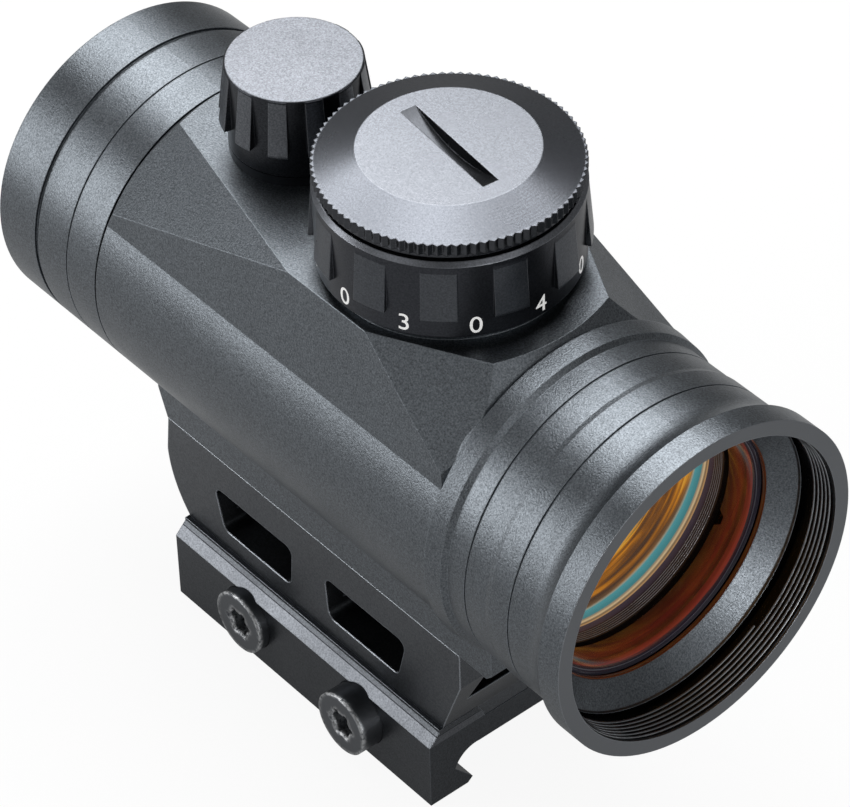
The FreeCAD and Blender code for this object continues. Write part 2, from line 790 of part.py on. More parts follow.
def return_spring():
    """A bent leaf that sits opposite both adjusters and pushes the inner tube against them."""
    wall = "bore_radius - spring_wall_gap"
    tube = "inner_radius + spring_gap"
    foot = "spring_length / 2"
    middle = "(%s + spring_inset + %s)" % (BODY_BACK, foot)
    crown = "spring_crown / 2"
    above = [(middle + " - " + foot, wall), (middle + " - " + crown, tube + " + spring_thickness"),
             (middle + " + " + crown, tube + " + spring_thickness"), (middle + " + " + foot, wall)]
    below = [(along, height + " - spring_thickness") for along, height in reversed(above)]
    return prism("leaf", "XZ_Plane", above + below, "spring_width", midplane=True)


EMITTER_BACK = "(%s + emitter_setback)" % INNER_BACK
DIODE_HEIGHT = "(emitter_reach - inner_radius - diode_drop)"


def emitter():
    """A small arm that rises from the tube's lower rear and carries the diode."""
    block = box("emitter_block", "emitter_length", "emitter_width", "emitter_reach + inner_wall",
                (EMITTER_BACK, "-emitter_width / 2", "-inner_radius"))
    inside = cylinder("emitter_round", "inner_radius - inner_wall", "emitter_length",
                      (EMITTER_BACK, "0", "0"), "X")
    return common("emitter_arm", block, inside)


named(return_spring(), "return_spring", ON_AXIS, Rotation(X_AXIS, 135))
named(emitter(), "emitter_bracket", ON_AXIS)
named(cylinder("diode", "diode_radius", "diode_length"), "emitter_diode",
      (EMITTER_BACK + " + emitter_length", "0", "axis_height + " + DIODE_HEIGHT), Rotation(Y_AXIS, 90))


# ---------------------------------------------------------------- elevation and windage turrets
FLANGE = "(block_top + turret_flange)"
BOSS = "(%s + turret_boss)" % FLANGE
POCKET = "(block_top + turret_pocket)"
PLUNGER_TIP = "(inner_radius + plunger_gap)"
CAP_RIM = "(%s + cap_seam)" % FLANGE
CAP_ROOF = "(%s + turret_cap_height)" % CAP_RIM


def turret(kind, turn):
    """One adjuster with its seat, dial, plunger, seal and cap, drawn upright on its own axis."""
    at = (TURRET, "0", "axis_height")
    named(turret_seat(kind), kind + "_seat", at, turn)
    named(plunger(kind), kind + "_plunger", at, turn)
    named(adjuster(kind), kind + "_dial", at, turn)
    named(turret_cap(kind), kind + "_cap", at, turn * Rotation(Z_AXIS, size("cap_pad_angle")))
    named(turret_seal(kind), kind + "_seal", at, turn)


def turret_seat(kind):
    """A flanged bush pressed into the housing, keyed for the plunger's square foot."""
    bush = turned(kind + "_seat_turned", [
        ("bore_radius + bore_setback", "0"),
        ("bore_radius + bore_setback", "turret_neck_radius"),
        ("block_top", "turret_neck_radius"),
        ("block_top", "turret_flange_radius"),
        (FLANGE, "turret_flange_radius"),
        (FLANGE, "turret_boss_radius"),
        (BOSS, "turret_boss_radius"),
        (BOSS, "adjuster_shank + running_gap"),
        (POCKET, "adjuster_shank + running_gap"),
        (POCKET, "0"),
    ], "Z")
    key = "plunger_side + 2 * running_gap"
    corner = "-plunger_side / 2 - running_gap"
    keyway = box(kind + "_keyway", key, key, POCKET, (corner, corner, "0"))
    return cut(kind + "_seat_keyed", bush, keyway)


def plunger(kind):
    """The threaded stem that a turning adjuster drives in and out; its square foot can't turn."""
    foot = box(kind + "_plunger_foot", "plunger_side", "plunger_side", "plunger_square",
               ("-plunger_side / 2", "-plunger_side / 2", PLUNGER_TIP))
    stem = cylinder(kind + "_plunger_stem", "plunger_thread_radius", "plunger_square + plunger_thread",
                    ("0", "0", PLUNGER_TIP))
    return fuse(kind + "_plunger_solid", foot, stem)


def adjuster(kind):
    """The slotted dial under the cap: its shank turns in the seat round the plunger's stem."""
    under = POCKET + " + running_gap"
    head = BOSS + " + running_gap"
    top = head + " + adjuster_head"
    hole = "%s + plunger_square + plunger_thread + adjuster_end_gap" % PLUNGER_TIP
    body = turned(kind + "_adjuster_turned", [
        (under, "plunger_thread_radius + running_gap"),
        (under, "adjuster_shank"),
        (head, "adjuster_shank"),
        (head, "adjuster_head_radius"),
        (top, "adjuster_head_radius"),
        (top, "0"),
        (hole, "0"),
        (hole, "plunger_thread_radius + running_gap"),
    ], "Z")
    slot = box(kind + "_adjuster_slot", "3 * adjuster_head_radius", "adjuster_slot",
               "2 * adjuster_slot_depth",
               ("-1.5 * adjuster_head_radius", "-adjuster_slot / 2", top + " - adjuster_slot_depth"))
    return cut(kind + "_adjuster_slotted", body, slot)


def turret_cap(kind):
    """The screwed cover: a cup over the boss with a seal groove at its rim and pads outside."""
    groove_roof = CAP_RIM + " + seal_section + 2 * seal_gap"
    groove_wall = "turret_boss_radius + seal_section + 2 * seal_gap"
    cup = turned(kind + "_cap_turned", [
        (CAP_RIM, "turret_flange_radius"),
        (CAP_ROOF + " - cap_rim_chamfer", "turret_flange_radius"),
        (CAP_ROOF, "turret_flange_radius - cap_rim_chamfer"),
        (CAP_ROOF, "0"),
        (CAP_ROOF + " - turret_cap_roof", "0"),
        (CAP_ROOF + " - turret_cap_roof", "turret_boss_radius + running_gap"),
        (groove_roof, "turret_boss_radius + running_gap"),
        (groove_roof, groove_wall),
        (CAP_RIM, groove_wall),
    ], "Z")
    grips = grip_pads(kind + "_grip", CAP_RIM + " + cap_pad_bottom", CAP_ROOF + " - cap_rim_chamfer",
                      "turret_flange_radius", "cap_pad_rise")
    return fuse(kind + "_cap_gripped", cup, grips)


def turret_seal(kind):
    inner = "turret_boss_radius + seal_gap"
    return gasket(kind + "_gasket", CAP_RIM + " + seal_gap", "seal_section", inner, "seal_section")


def gasket(name, foot, height, inner, width):
    """A rubber ring of square section round Z."""
    return turned(name, [
        (foot, inner),
        (foot, "%s + %s" % (inner, width)),
        ("%s + %s" % (foot, height), "%s + %s" % (inner, width)),
        ("%s + %s" % (foot, height), inner),
    ], "Z")


def grip_pads(name, low, high, radius, rise):
    """Raised pads round a knob: they stand out at the foot and run out at the top."""
    body = doc.addObject("PartDesign::Body", name)
    sketch = outline(body, "XZ_Plane", [
        ("%s - pad_root" % radius, low),
        ("%s + %s" % (radius, rise), low),
        ("%s + %s" % (radius, rise), low + " + pad_edge"),
        ("%s + pad_fade" % radius, high),
        ("%s - pad_root" % radius, high),
    ])
    pad = body.newObject("PartDesign::Revolution", name + "_pad")
    pad.Profile = sketch
    pad.ReferenceAxis = (sketch, ["V_Axis"])
    pad.Midplane = True
    pad.setExpression("Angle", bound("180 / pad_count"))
    doc.recompute()
    pattern = body.newObject("PartDesign::PolarPattern", name + "_pattern")
    pattern.Originals = [pad]
    pattern.Axis = (sketch, ["V_Axis"])
    pattern.Angle = 360
    pattern.setExpression("Occurrences", bound("pad_count"))
    body.Tip = pattern
    return body


turret("elevation", Rotation())
turret("windage", Rotation(X_AXIS, -90))


# ---------------------------------------------------------------- brightness dial and battery
ON_DIAL = (DIAL, "0", "axis_height")
DIAL_FOOT = "(block_top + dial_lift)"
DIAL_TOP = "(%s + dial_height)" % DIAL_FOOT
WEB = "(%s + dial_web_lift)" % DIAL_FOOT
WEB_TOP = "(%s + dial_web)" % WEB
CUP = "(%s + washer_thickness + washer_gap)" % WEB_TOP
CUP_FLOOR = "(%s + cup_floor)" % CUP
CUP_TOP = "(%s + cup_height)" % CUP
CELL = "(%s + contact_height)" % CUP_FLOOR
CELL_TOP = "(%s + cell_thickness)" % CELL
CAP_UNDER = "(%s + cap_gap)" % DIAL_TOP
DIAL_BORE = "(cup_radius + cup_gap)"


def brightness_dial():
    """A cup without a floor: its inner web turns round the battery holder's neck."""
    rim = "dial_radius + dial_flare"
    ring = turned("dial_turned", [
        (WEB, "dial_web_bore"),
        (WEB, "collar_outer + collar_gap"),
        (DIAL_FOOT, "collar_outer + collar_gap"),
        (DIAL_FOOT, "dial_radius"),
        (DIAL_TOP + " - dial_chamfer", rim),
        (DIAL_TOP, rim + " - dial_chamfer"),
        (DIAL_TOP, DIAL_BORE),
        (WEB_TOP, DIAL_BORE),
        (WEB_TOP, "dial_web_bore"),
    ], "Z")
    grips = grip_pads("dial_grip", DIAL_FOOT + " + dial_pad_bottom", DIAL_TOP + " - dial_chamfer",
                      "dial_radius", "dial_pad_rise")
    return fuse("dial_gripped", ring, grips)


def battery_holder():
    """The fixed post: a neck through the dial's web, and the cup that holds the cell."""
    return turned("post_turned", [
        ("bore_radius + bore_setback", "0"),
        ("bore_radius + bore_setback", "neck_radius"),
        (CUP, "neck_radius"),
        (CUP, "cup_radius"),
        (CUP_TOP, "cup_radius"),
        (CUP_TOP, "cap_thread_radius"),
        (CELL_TOP, "cap_thread_radius"),
        (CELL_TOP, "cell_radius + cell_gap"),
        (CUP_FLOOR, "cell_radius + cell_gap"),
        (CUP_FLOOR, "0"),
    ], "Z")


def battery_cap():
    """The knurled, dished cap: its skirt screws into the holder and its slot takes a coin."""
    lip = CAP_UNDER + " + cap_lip"
    shoulder = lip + " + knurl_height"
    crown = shoulder + " + crown_rise"
    seat = "battery_cap_radius - cap_lip_inset"
    skirt = "cap_thread_radius - running_gap"
    body = turned("cap_turned", [
        (CELL_TOP + " + running_gap", "cap_skirt_inner"),
        (CELL_TOP + " + running_gap", skirt),
        (CAP_UNDER, skirt),
        (CAP_UNDER, seat),
        (lip, seat),
        (lip, "battery_cap_radius - knurl_depth"),
        (shoulder, "battery_cap_radius - knurl_depth"),
        (crown, "crown_radius"),
        (crown, "0"),
        (CAP_UNDER, "0"),
        (CAP_UNDER, "cap_skirt_inner"),
    ], "Z")
    knurl = knurled_ring("cap_knurl", size("battery_cap_radius"), size("knurl_depth"),
                         size("knurl_height"), round(size("knurl_count")))
    place(knurl, ("0", "0", lip))
    slot_body = box("coin_slot", "coin_slot_length", "coin_slot_width", "coin_slot_depth",
                    ("-coin_slot_length / 2", "-coin_slot_width / 2", crown + " - coin_slot_depth"))
    slot = common("coin_slot_shape", slot_body, slot_disc(crown))
    return cut("cap_slotted", fuse("cap_knurled", body, knurl), slot)


def slot_disc(crown):
    """The cutter's disc: a wide arc, so the slot is shallow at its ends and deep in the middle."""
    radius = "(coin_slot_length ^ 2 / 4 + coin_slot_depth ^ 2) / (2 * coin_slot_depth)"
    return cylinder("slot_cutter", radius, "coin_slot_width",
                    ("0", "-coin_slot_width / 2", "%s - coin_slot_depth + %s" % (crown, radius)), "Y")


def knurled_ring(name, radius, depth, height, count):
    """Straight V knurling: a toothed outline, extruded."""
    corners = []
    for k in range(2 * count):
        reach = radius if k % 2 == 0 else radius - depth
        angle = math.pi * k / count
        corners.append(Vector(reach * math.cos(angle), reach * math.sin(angle), 0))
    face = Part.Face(Part.makePolygon(corners + corners[:1]))
    obj = doc.addObject("Part::Feature", name)
    obj.Shape = face.extrude(Vector(0, 0, height))
    return obj


def coin_cell():
    """A button cell lying on its small face."""
    step = CELL + " + cell_base_step"
    return turned("cell_turned", [
        (CELL, "0"),
        (CELL, "cell_base_radius"),
        (step, "cell_base_radius"),
        (step, "cell_radius - cell_crimp"),
        (step + " + cell_crimp", "cell_radius"),
        (CELL_TOP, "cell_radius"),
        (CELL_TOP, "0"),
    ], "Z")


def cell_contact():
    """A sprung dish that lifts the cell off the cup's floor."""
    return turned("contact_turned", [
        (CUP_FLOOR, "contact_inner"),
        (CUP_FLOOR, "contact_outer"),
        (CUP_FLOOR + " + contact_thickness", "contact_outer"),
        (CUP_FLOOR + " + contact_thickness", "contact_inner + contact_thickness / 2"),
        (CELL, "contact_tip"),
        (CELL, "0"),
        (CELL + " - contact_thickness", "0"),
        (CELL + " - contact_thickness", "contact_tip - contact_thickness / 2"),
    ], "Z")


BOARD = "(block_top - switch_depth)"
BOARD_TOP = "(%s + board_thickness)" % BOARD


def switch_wiper():
    """A ring under the dial's web with sprung fingers that run on the board."""
    ring = gasket("wiper_ring", WEB + " - wiper_thickness", "wiper_thickness",
                  "wiper_radius - wiper_width / 2", "wiper_width")
    fingers = []
    for k in range(round(size("wiper_count"))):
        turn = "%d * 360 / wiper_count" % k
        at = ("wiper_radius * cos(%s)" % turn, "wiper_radius * sin(%s)" % turn,
              BOARD_TOP + " + running_gap")
        fingers.append(cylinder("wiper_finger_%d" % k, "finger_radius",
                                "%s - %s - running_gap" % (WEB, BOARD_TOP), at))
    return fuse("wiper_solid", ring, *fingers)


named(battery_holder(), "battery_holder", ON_DIAL)
named(brightness_dial(), "brightness_dial", ON_DIAL, Rotation(Z_AXIS, size("dial_pad_angle")))
named(battery_cap(), "battery_cap", ON_DIAL, Rotation(Z_AXIS, size("coin_slot_angle")))
named(gasket("cap_gasket", CUP_TOP + " + seal_gap", "%s - %s - 2 * seal_gap" % (CAP_UNDER, CUP_TOP),
             "cap_thread_radius + seal_gap", "cup_radius - cap_thread_radius - 2 * seal_gap"),
      "battery_cap_seal", ON_DIAL)
named(coin_cell(), "coin_cell", ON_DIAL)
named(cell_contact(), "cell_contact", ON_DIAL)
named(gasket("board_ring", BOARD, "board_thickness", "neck_radius + board_gap",
             "switch_recess - neck_radius - 2 * board_gap"), "switch_board", ON_DIAL)
named(switch_wiper(), "switch_wiper", ON_DIAL)
named(gasket("click_ring", CUP + " - washer_thickness", "washer_thickness", "dial_web_bore",
             "washer_outer - dial_web_bore"), "click_washer", ON_DIAL)


# ---------------------------------------------------------------- riser
def riser():
    side = prism("riser_side", "XZ_Plane", [
        ("-riser_back", RISER_TOP),
        ("-riser_back - riser_back_bulge", RISER_SHOULDER),
        ("-riser_back + riser_back_bulge / 2", "(%s + riser_bottom) / 2" % RISER_SHOULDER, "arc"),
        ("-riser_back_foot", "riser_bottom"),
        ("riser_front_foot", "riser_bottom"),
        ("riser_front", RISER_SHOULDER),
        ("riser_front", RISER_TOP),
    ], "2 * pedestal_half_width", midplane=True)
    tongue = prism("riser_tongue", "YZ_Plane", [
        ("-tongue_half_width - tongue_taper", "riser_bottom + tongue_lap"),
        ("-tongue_half_width - tongue_taper", "riser_bottom"),
        ("-tongue_half_width", "riser_bottom - tongue_depth"),
        ("tongue_half_width", "riser_bottom - tongue_depth"),
        ("tongue_half_width + tongue_taper", "riser_bottom"),
        ("tongue_half_width + tongue_taper", "riser_bottom + tongue_lap"),
    ], "riser_front_foot + riser_back_foot", offset="-riser_back_foot")
    windows = [riser_window("window_%s" % end, hand) for end, hand in (("front", 1), ("back", -1))]
    tunnel = prism("riser_tunnel", "YZ_Plane", [
        ("-tunnel_top_half", TUNNEL_TOP),
        ("-tunnel_floor_half", "tunnel_floor"),
        ("tunnel_floor_half", "tunnel_floor"),
        ("tunnel_top_half", TUNNEL_TOP),
    ], "3 * riser_front", midplane=True)
    access = [cylinder("screw_access", "access_radius", "tunnel_floor", (x, y, "0"))
              for x, y in riser_screw_places()]
    screws = [screw("riser_screw_hole", x, y, TUNNEL_TOP, RISER_SCREW)
              for x, y in riser_screw_places()]
    threads = [cylinder("tongue_thread", "screw_radius", "clamp_screw_length", (x, "0", "0"))
               for x in ("-clamp_screw_x", "clamp_screw_x")]
    whole = fuse("riser_blank", side, tongue)
    return cut("riser_solid", whole, *windows, tunnel, *access, *screws, *threads)


def riser_window(name, hand):
    """A rounded window through both sides of the riser; its outer edge leans inwards downwards."""
    body = doc.addObject("PartDesign::Body", name)
    near = "window_centre + %d * web_half_width" % hand
    near_low = "window_centre + %d * (web_half_width + web_slant)" % hand
    far = "window_centre + %d * window_outer" % hand
    far_low = "window_centre + %d * (window_outer - window_slant)" % hand
    sketch = outline(body, "XZ_Plane", [
        (near, WINDOW_TOP),
        (near_low, "window_floor"),
        (far_low, "window_floor"),
        (far, WINDOW_TOP),
    ])
    pad = body.newObject("PartDesign::Pad", name + "_pad")
    pad.Profile = sketch
    pad.Midplane = True
    pad.setExpression("Length", bound("4 * pedestal_half_width"))
    doc.recompute()
    through = ["Edge%d" % (k + 1) for k, edge in enumerate(pad.Shape.Edges)
               if abs(edge.tangentAt(edge.FirstParameter).y) > 0.99]
    rounded = body.newObject("PartDesign::Fillet", name + "_corners")
    rounded.Base = (pad, through)
    corner = "window_corner_share * (%s - window_floor)" % WINDOW_TOP
    rounded.setExpression("Radius", bound(corner))
    return body


def screw(name, x, y, seat, length):
    """A countersunk screw that points up: head flush at its seat, shank above."""
    head = doc.addObject("Part::Cone", name + "_head")
    head.setExpression("Radius1", bound("screw_head_radius"))
    head.setExpression("Radius2", bound("screw_radius"))
    head.setExpression("Height", bound("screw_head"))
    place(head, (x, y, seat))
    shank = cylinder(name + "_shank", "screw_radius", length, (x, y, seat))
    return fuse(name, head, shank)


def screw_group(name, places, seat, length):
    screws = [screw("%s_%d" % (name, k), x, y, seat, length)
              for k, (x, y) in enumerate(places)]
    obj = doc.addObject("Part::Compound", name)
    obj.Links = screws
    return obj


named(riser(), "riser")
named(screw_group("riser_fasteners", riser_screw_places(), TUNNEL_TOP, RISER_SCREW),
      "riser_screws")


# ---------------------------------------------------------------- rail clamp
BOLTS = (("front", "bolt_shift + bolt_pitch / 2", "front_head_out"),
         ("rear", "bolt_shift - bolt_pitch / 2", "rear_head_out"))


def clamp_base():
    groove = "riser_bottom - tongue_depth"
    profile = prism("clamp_profile", "YZ_Plane", [
        ("-clamp_shoulder", "riser_bottom"),
        ("-clamp_shoulder", "clamp_bevel_top"),
        ("-clamp_half_width", "clamp_bevel_low"),
        ("-clamp_half_width", "-jaw_depth"),
        ("-jaw_tip - jaw_toe", "-jaw_depth"),
        ("-jaw_tip", "-jaw_tip_depth"),
        ("-rail_half_width", "-rail_notch"),
        ("-rail_half_width + (rail_half_width - roof_half_width) * roof_bend",
         "-rail_notch * roof_bend", "arc"),
        ("-roof_half_width", "0"),
        ("jaw_split", "0"),
        ("jaw_split", "jaw_top + jaw_gap"),
        ("clamp_shoulder", "jaw_top + jaw_gap"),
        ("clamp_shoulder", "riser_bottom"),
        ("tongue_half_width + tongue_taper", "riser_bottom"),
        ("tongue_half_width", groove),
        ("-tongue_half_width", groove),
        ("-tongue_half_width - tongue_taper", "riser_bottom"),
    ], "clamp_length", midplane=True)
    tools = []
    for end, x, out in BOLTS:
        tools.append(cylinder("bolt_way_" + end, "bolt_radius + running_gap", "3 * clamp_half_width",
                              (x, "-1.5 * clamp_half_width", "-bolt_drop"), "Y"))
        head_at = (x, "-clamp_half_width - %s" % out, "-bolt_drop")
        tools.append(cylinder("bolt_counterbore_" + end, "bolt_head_radius + running_gap",
                              "bolt_head_length", head_at, "Y"))
    for k, x in enumerate(("-clamp_screw_x", "clamp_screw_x")):
        tools.append(screw("clamp_screw_hole_%d" % k, x, "0", "0", "clamp_screw_length"))
    return cut("clamp_base_solid", profile, *tools)


def clamp_jaw():
    profile = prism("jaw_profile", "YZ_Plane", [
        ("jaw_split + jaw_gap", "jaw_top"),
        ("jaw_split + jaw_gap", "-rail_notch * roof_bend"),
        ("rail_half_width", "-rail_notch"),
        ("jaw_tip", "-jaw_tip_depth"),
        ("jaw_tip + jaw_toe", "-jaw_depth"),
        ("clamp_half_width", "-jaw_depth"),
        ("clamp_half_width", "jaw_top - jaw_edge"),
        ("clamp_half_width - jaw_edge", "jaw_top"),
    ], "clamp_length", midplane=True)
    holes = [cylinder("jaw_thread_" + end, "bolt_radius + running_gap", "3 * clamp_half_width",
                      (x, "0", "-bolt_drop"), "Y") for end, x, out in BOLTS]
    return cut("clamp_jaw_solid", profile, *holes)


def clamp_bolt(end, x, out):
    face = "-clamp_half_width - %s" % out
    head = cylinder("bolt_head_" + end, "bolt_head_radius", "bolt_head_length",
                    (x, face, "-bolt_drop"), "Y")
    shank = cylinder("bolt_shank_" + end, "bolt_radius", "bolt_tail - (%s)" % face,
                     (x, face, "-bolt_drop"), "Y")
    return cut("bolt_" + end, fuse("bolt_blank_" + end, head, shank), star_socket(end, x, face))


def star_socket(end, x, face):
    """A lobed socket in a bolt's head: a round core with small lobes around its edge."""
    core = cylinder("star_core_" + end, "star_core", "star_depth", (x, face, "-bolt_drop"), "Y")
    lobes = []
    for k in range(int(size("star_count"))):
        turn = "(%d * 360 / star_count)" % k
        at = ("%s + star_core * cos(%s)" % (x, turn), face,
              "-bolt_drop + star_core * sin(%s)" % turn)
        lobes.append(cylinder("star_lobe_%s_%d" % (end, k), "star_lobe", "star_depth", at, "Y"))
    return fuse("star_" + end, core, *lobes)


named(clamp_base(), "clamp_base")
named(screw_group("clamp_fasteners", [("-clamp_screw_x", "0"), ("clamp_screw_x", "0")], "0",
                  "clamp_screw_length"), "clamp_screws")
named(clamp_jaw(), "clamp_jaw")
for end, x, out in BOLTS:
    named(clamp_bolt(end, x, out), "clamp_bolt_" + end)


# ---------------------------------------------------------------- seals between bells and body
def bell_seals():
    """Two flat rings that fill the seams behind each bell's shoulder."""
    rings = []
    for tag, start, width in (("front", BODY_FRONT, "front_seam"),
                              ("rear", BODY_BACK + " - rear_seam", "rear_seam")):
        ring = turned("seam_ring_" + tag, [
            (start, "spigot_radius"),
            (start, "spigot_radius + seal_thickness"),
            (start + " + " + width, "spigot_radius + seal_thickness"),
            (start + " + " + width, "spigot_radius"),
        ])
        rings.append(ring)
    obj = doc.addObject("Part::Compound", "bell_seal_rings")
    obj.Links = rings
    return obj


named(bell_seals(), "bell_seals", ON_AXIS)


# ---------------------------------------------------------------- check and write
doc.recompute()
broken = [obj.Name for obj in doc.Objects if "Invalid" in obj.State or "Error" in obj.State]
if broken:
    raise RuntimeError("objects that failed: " + ", ".join(broken))
os.makedirs("parts", exist_ok=True)
for node in nodes:
    shape = node.Shape
    if shape.isNull() or not shape.isValid() or not shape.Solids:
        raise RuntimeError("bad shape: " + node.Label)
    shape.exportStep(os.path.join("parts", node.Label + ".step"))
    print("%-26s %d solid(s) %10.2f mm3" % (node.Label, len(shape.Solids), shape.Volume))
print(len(nodes), "nodes")
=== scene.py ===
# %% [markdown]
# # A tube sight with a rail mount
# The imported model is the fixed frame: every CAD node keeps its place, and each piece made here
# stands exactly where the node that it dresses stands. Lengths are written in millimetres, because
# that is how such a sight is drawn, and one factor turns them into Blender's metres.

import math

import bmesh
import bpy
from mathutils import Matrix, Vector


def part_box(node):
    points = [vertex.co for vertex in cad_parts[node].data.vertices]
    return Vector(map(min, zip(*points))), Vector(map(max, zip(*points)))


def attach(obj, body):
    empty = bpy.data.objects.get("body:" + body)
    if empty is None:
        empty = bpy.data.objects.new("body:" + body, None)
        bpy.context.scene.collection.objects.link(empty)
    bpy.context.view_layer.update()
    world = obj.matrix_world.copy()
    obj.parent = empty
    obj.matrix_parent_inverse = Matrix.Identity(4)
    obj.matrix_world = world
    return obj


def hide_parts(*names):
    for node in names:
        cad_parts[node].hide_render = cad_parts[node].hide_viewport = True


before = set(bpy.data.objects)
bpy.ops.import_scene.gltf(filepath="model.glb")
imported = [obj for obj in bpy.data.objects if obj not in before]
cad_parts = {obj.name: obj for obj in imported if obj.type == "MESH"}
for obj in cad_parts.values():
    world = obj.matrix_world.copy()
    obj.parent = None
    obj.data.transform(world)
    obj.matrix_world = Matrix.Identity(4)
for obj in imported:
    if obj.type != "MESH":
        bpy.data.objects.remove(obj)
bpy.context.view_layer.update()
MM = 0.001


# %% [markdown]
# The few places that everything else hangs on are read from the frame: the optical axis and its
# two ends, the axes of the two knobs on top, and the floor that the clamp stands on.

# %% Places
def low(node):
    """A node's lowest corner in millimetres."""
    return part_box(node)[0] / MM


def high(node):
    """A node's highest corner in millimetres."""
    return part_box(node)[1] / MM


def middle(node):
    """The middle of a node's box in millimetres."""
    return (low(node) + high(node)) / 2


AXIS = Vector((0, middle("rear_bell").y, middle("rear_bell").z))
RIM = high("front_bell").x
TURRET = middle("elevation_cap")
DIAL = middle("battery_cap")
SIDE_TURRET = middle("windage_cap")
FLOOR = low("clamp_base").z
print("optical axis %.2f mm up, rim at x %.2f, knobs at x %.2f and %.2f"
      % (AXIS.z, RIM, TURRET.x, DIAL.x))

# %% [markdown]
# ## Camera
# The sight is seen from its front left and from above, through a long lens that hardly converges.
# The camera looks at a point near the object's middle, so its place follows from two angles and a
# distance. A small roll stands for a camera that wasn't held quite level.

# %% Camera
AZIMUTH, ELEVATION, ROLL = (math.radians(a) for a in (50.985, 41.888, -1.664))
AIM = Vector((2.94, 2.41, 30.90))
DISTANCE = 482.79
LENS, SENSOR = 187.52, 36.0
NEAREST, FARTHEST = 10, 5000


def point_camera():
    """A camera that looks back along two angles at the aim."""
    back = Vector((math.sin(AZIMUTH) * math.cos(ELEVATION),
                   -math.cos(AZIMUTH) * math.cos(ELEVATION), math.sin(ELEVATION)))
    camera = bpy.data.objects.new("camera", bpy.data.cameras.new("camera"))
    camera.data.lens = LENS
    camera.data.sensor_width = SENSOR
    camera.data.clip_start, camera.data.clip_end = NEAREST * MM, FARTHEST * MM
    camera.location = (AIM + back * DISTANCE) * MM
    roll = Matrix.Rotation(ROLL, 4, "Z")
    look = (-back).to_track_quat("-Z", "Y").to_matrix().to_4x4() @ roll
    camera.rotation_mode = "QUATERNION"
    camera.rotation_quaternion = look.to_quaternion()
    bpy.context.scene.collection.objects.link(camera)
    bpy.context.scene.camera = camera
    return camera


print("camera at", [round(v / MM, 1) for v in point_camera().location], "mm")

# %% [markdown]
# ## Materials
# Colours are written as they look on a screen, in hex, and turned into the linear values that the
# shader wants. One small function adds a node with its settings and its links, to a material or to
# a Geometry Nodes tree alike.
#
# Patterns are sized in millimetres, as they would be measured with a rule, and two short functions
# turn such a size into the scale of a Noise or a Wave texture.


# %% Helpers for nodes
def linear(code):
    """A screen colour such as 4a4f52 as linear red, green, blue and alpha."""
    parts = [int(code[k:k + 2], 16) / 255 for k in (0, 2, 4)]
    return [c / 12.92 if c <= 0.04045 else ((c + 0.055) / 1.055) ** 2.4 for c in parts] + [1.0]


def add(tree, kind, inputs=None, **settings):
    """Add a node; inputs are numbers, colours, or an output socket to link."""
    node = tree.nodes.new(kind)
    for name, value in settings.items():
        setattr(node, name, value)
    for name, value in (inputs or {}).items():
        socket = node.inputs[name]
        if isinstance(value, bpy.types.NodeSocket):
            tree.links.new(value, socket)
        else:
            socket.default_value = value
    return node


print("screen grey 808080 is %.3f in linear light" % linear("808080")[0])


# %% Helpers for finishes
def new_material(name, colour, metallic, roughness, **more):
    """A material with its Principled shader; more holds other sockets by name."""
    material = bpy.data.materials.new(name)
    material.use_nodes = True
    shader = material.node_tree.nodes["Principled BSDF"]
    shader.inputs["Base Color"].default_value = linear(colour)
    shader.inputs["Metallic"].default_value = metallic
    shader.inputs["Roughness"].default_value = roughness
    for socket, value in more.items():
        shader.inputs[socket.replace("_", " ")].default_value = value
    return material, material.node_tree, shader


def noise_scale(size):
    """The Noise texture's scale for clouds of a size in millimetres."""
    return 1 / (size * MM)


def wave_scale(pitch):
    """The Wave texture's scale for lines that repeat every pitch millimetres."""
    return math.pi / 10 / (pitch * MM)


def dress(material, *nodes):
    """Give CAD nodes their finish."""
    for node in nodes:
        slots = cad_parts[node].data.materials
        slots.clear()
        slots.append(material)


print("dents of 0.2 mm: noise scale", noise_scale(0.2))

# %% [markdown]
# ### What every metal finish shares
# A machined edge is never quite sharp, and fingers rub its coating thin. The edges could be
# bevelled in the mesh, but the CAD's mesh stays as it is, so the Bevel node rounds them for the
# light alone, and where that rounded normal leaves the true one, the metal is paler. No surface
# has one even tone either: a noise makes it a little darker here and paler there.

# %% Rubbed edges and uneven tones
LEAST, MOST = 0.3, 0.7    # nearly all of a Noise texture's values lie between these two


def worn_edges(tree, radius, samples, reach, most):
    """A normal rounded by a radius in millimetres, and how far it is rubbed bare, up to most."""
    rounded = add(tree, "ShaderNodeBevel", {"Radius": radius * MM}, samples=samples)
    shape = add(tree, "ShaderNodeNewGeometry").outputs["Normal"]
    bend = add(tree, "ShaderNodeVectorMath", {0: rounded.outputs["Normal"], 1: shape},
               operation="DOT_PRODUCT")
    rubbed = add(tree, "ShaderNodeMapRange", {"Value": bend.outputs["Value"], "From Min": 0.99,
                 "From Max": reach, "To Max": most})
    return rounded.outputs["Normal"], rubbed.outputs["Result"]


def uneven(tree, shader, colour, noise, darkest, palest):
    """A base colour that a noise makes darker and paler, between two factors."""
    shade = add(tree, "ShaderNodeMapRange", {"Value": noise, "From Min": LEAST, "From Max": MOST,
                "To Min": darkest, "To Max": palest})
    tint = add(tree, "ShaderNodeVectorMath", {0: linear(colour)[:3],
               "Scale": shade.outputs["Result"]}, operation="SCALE")
    tree.links.new(tint.outputs["Vector"], shader.inputs["Base Color"])


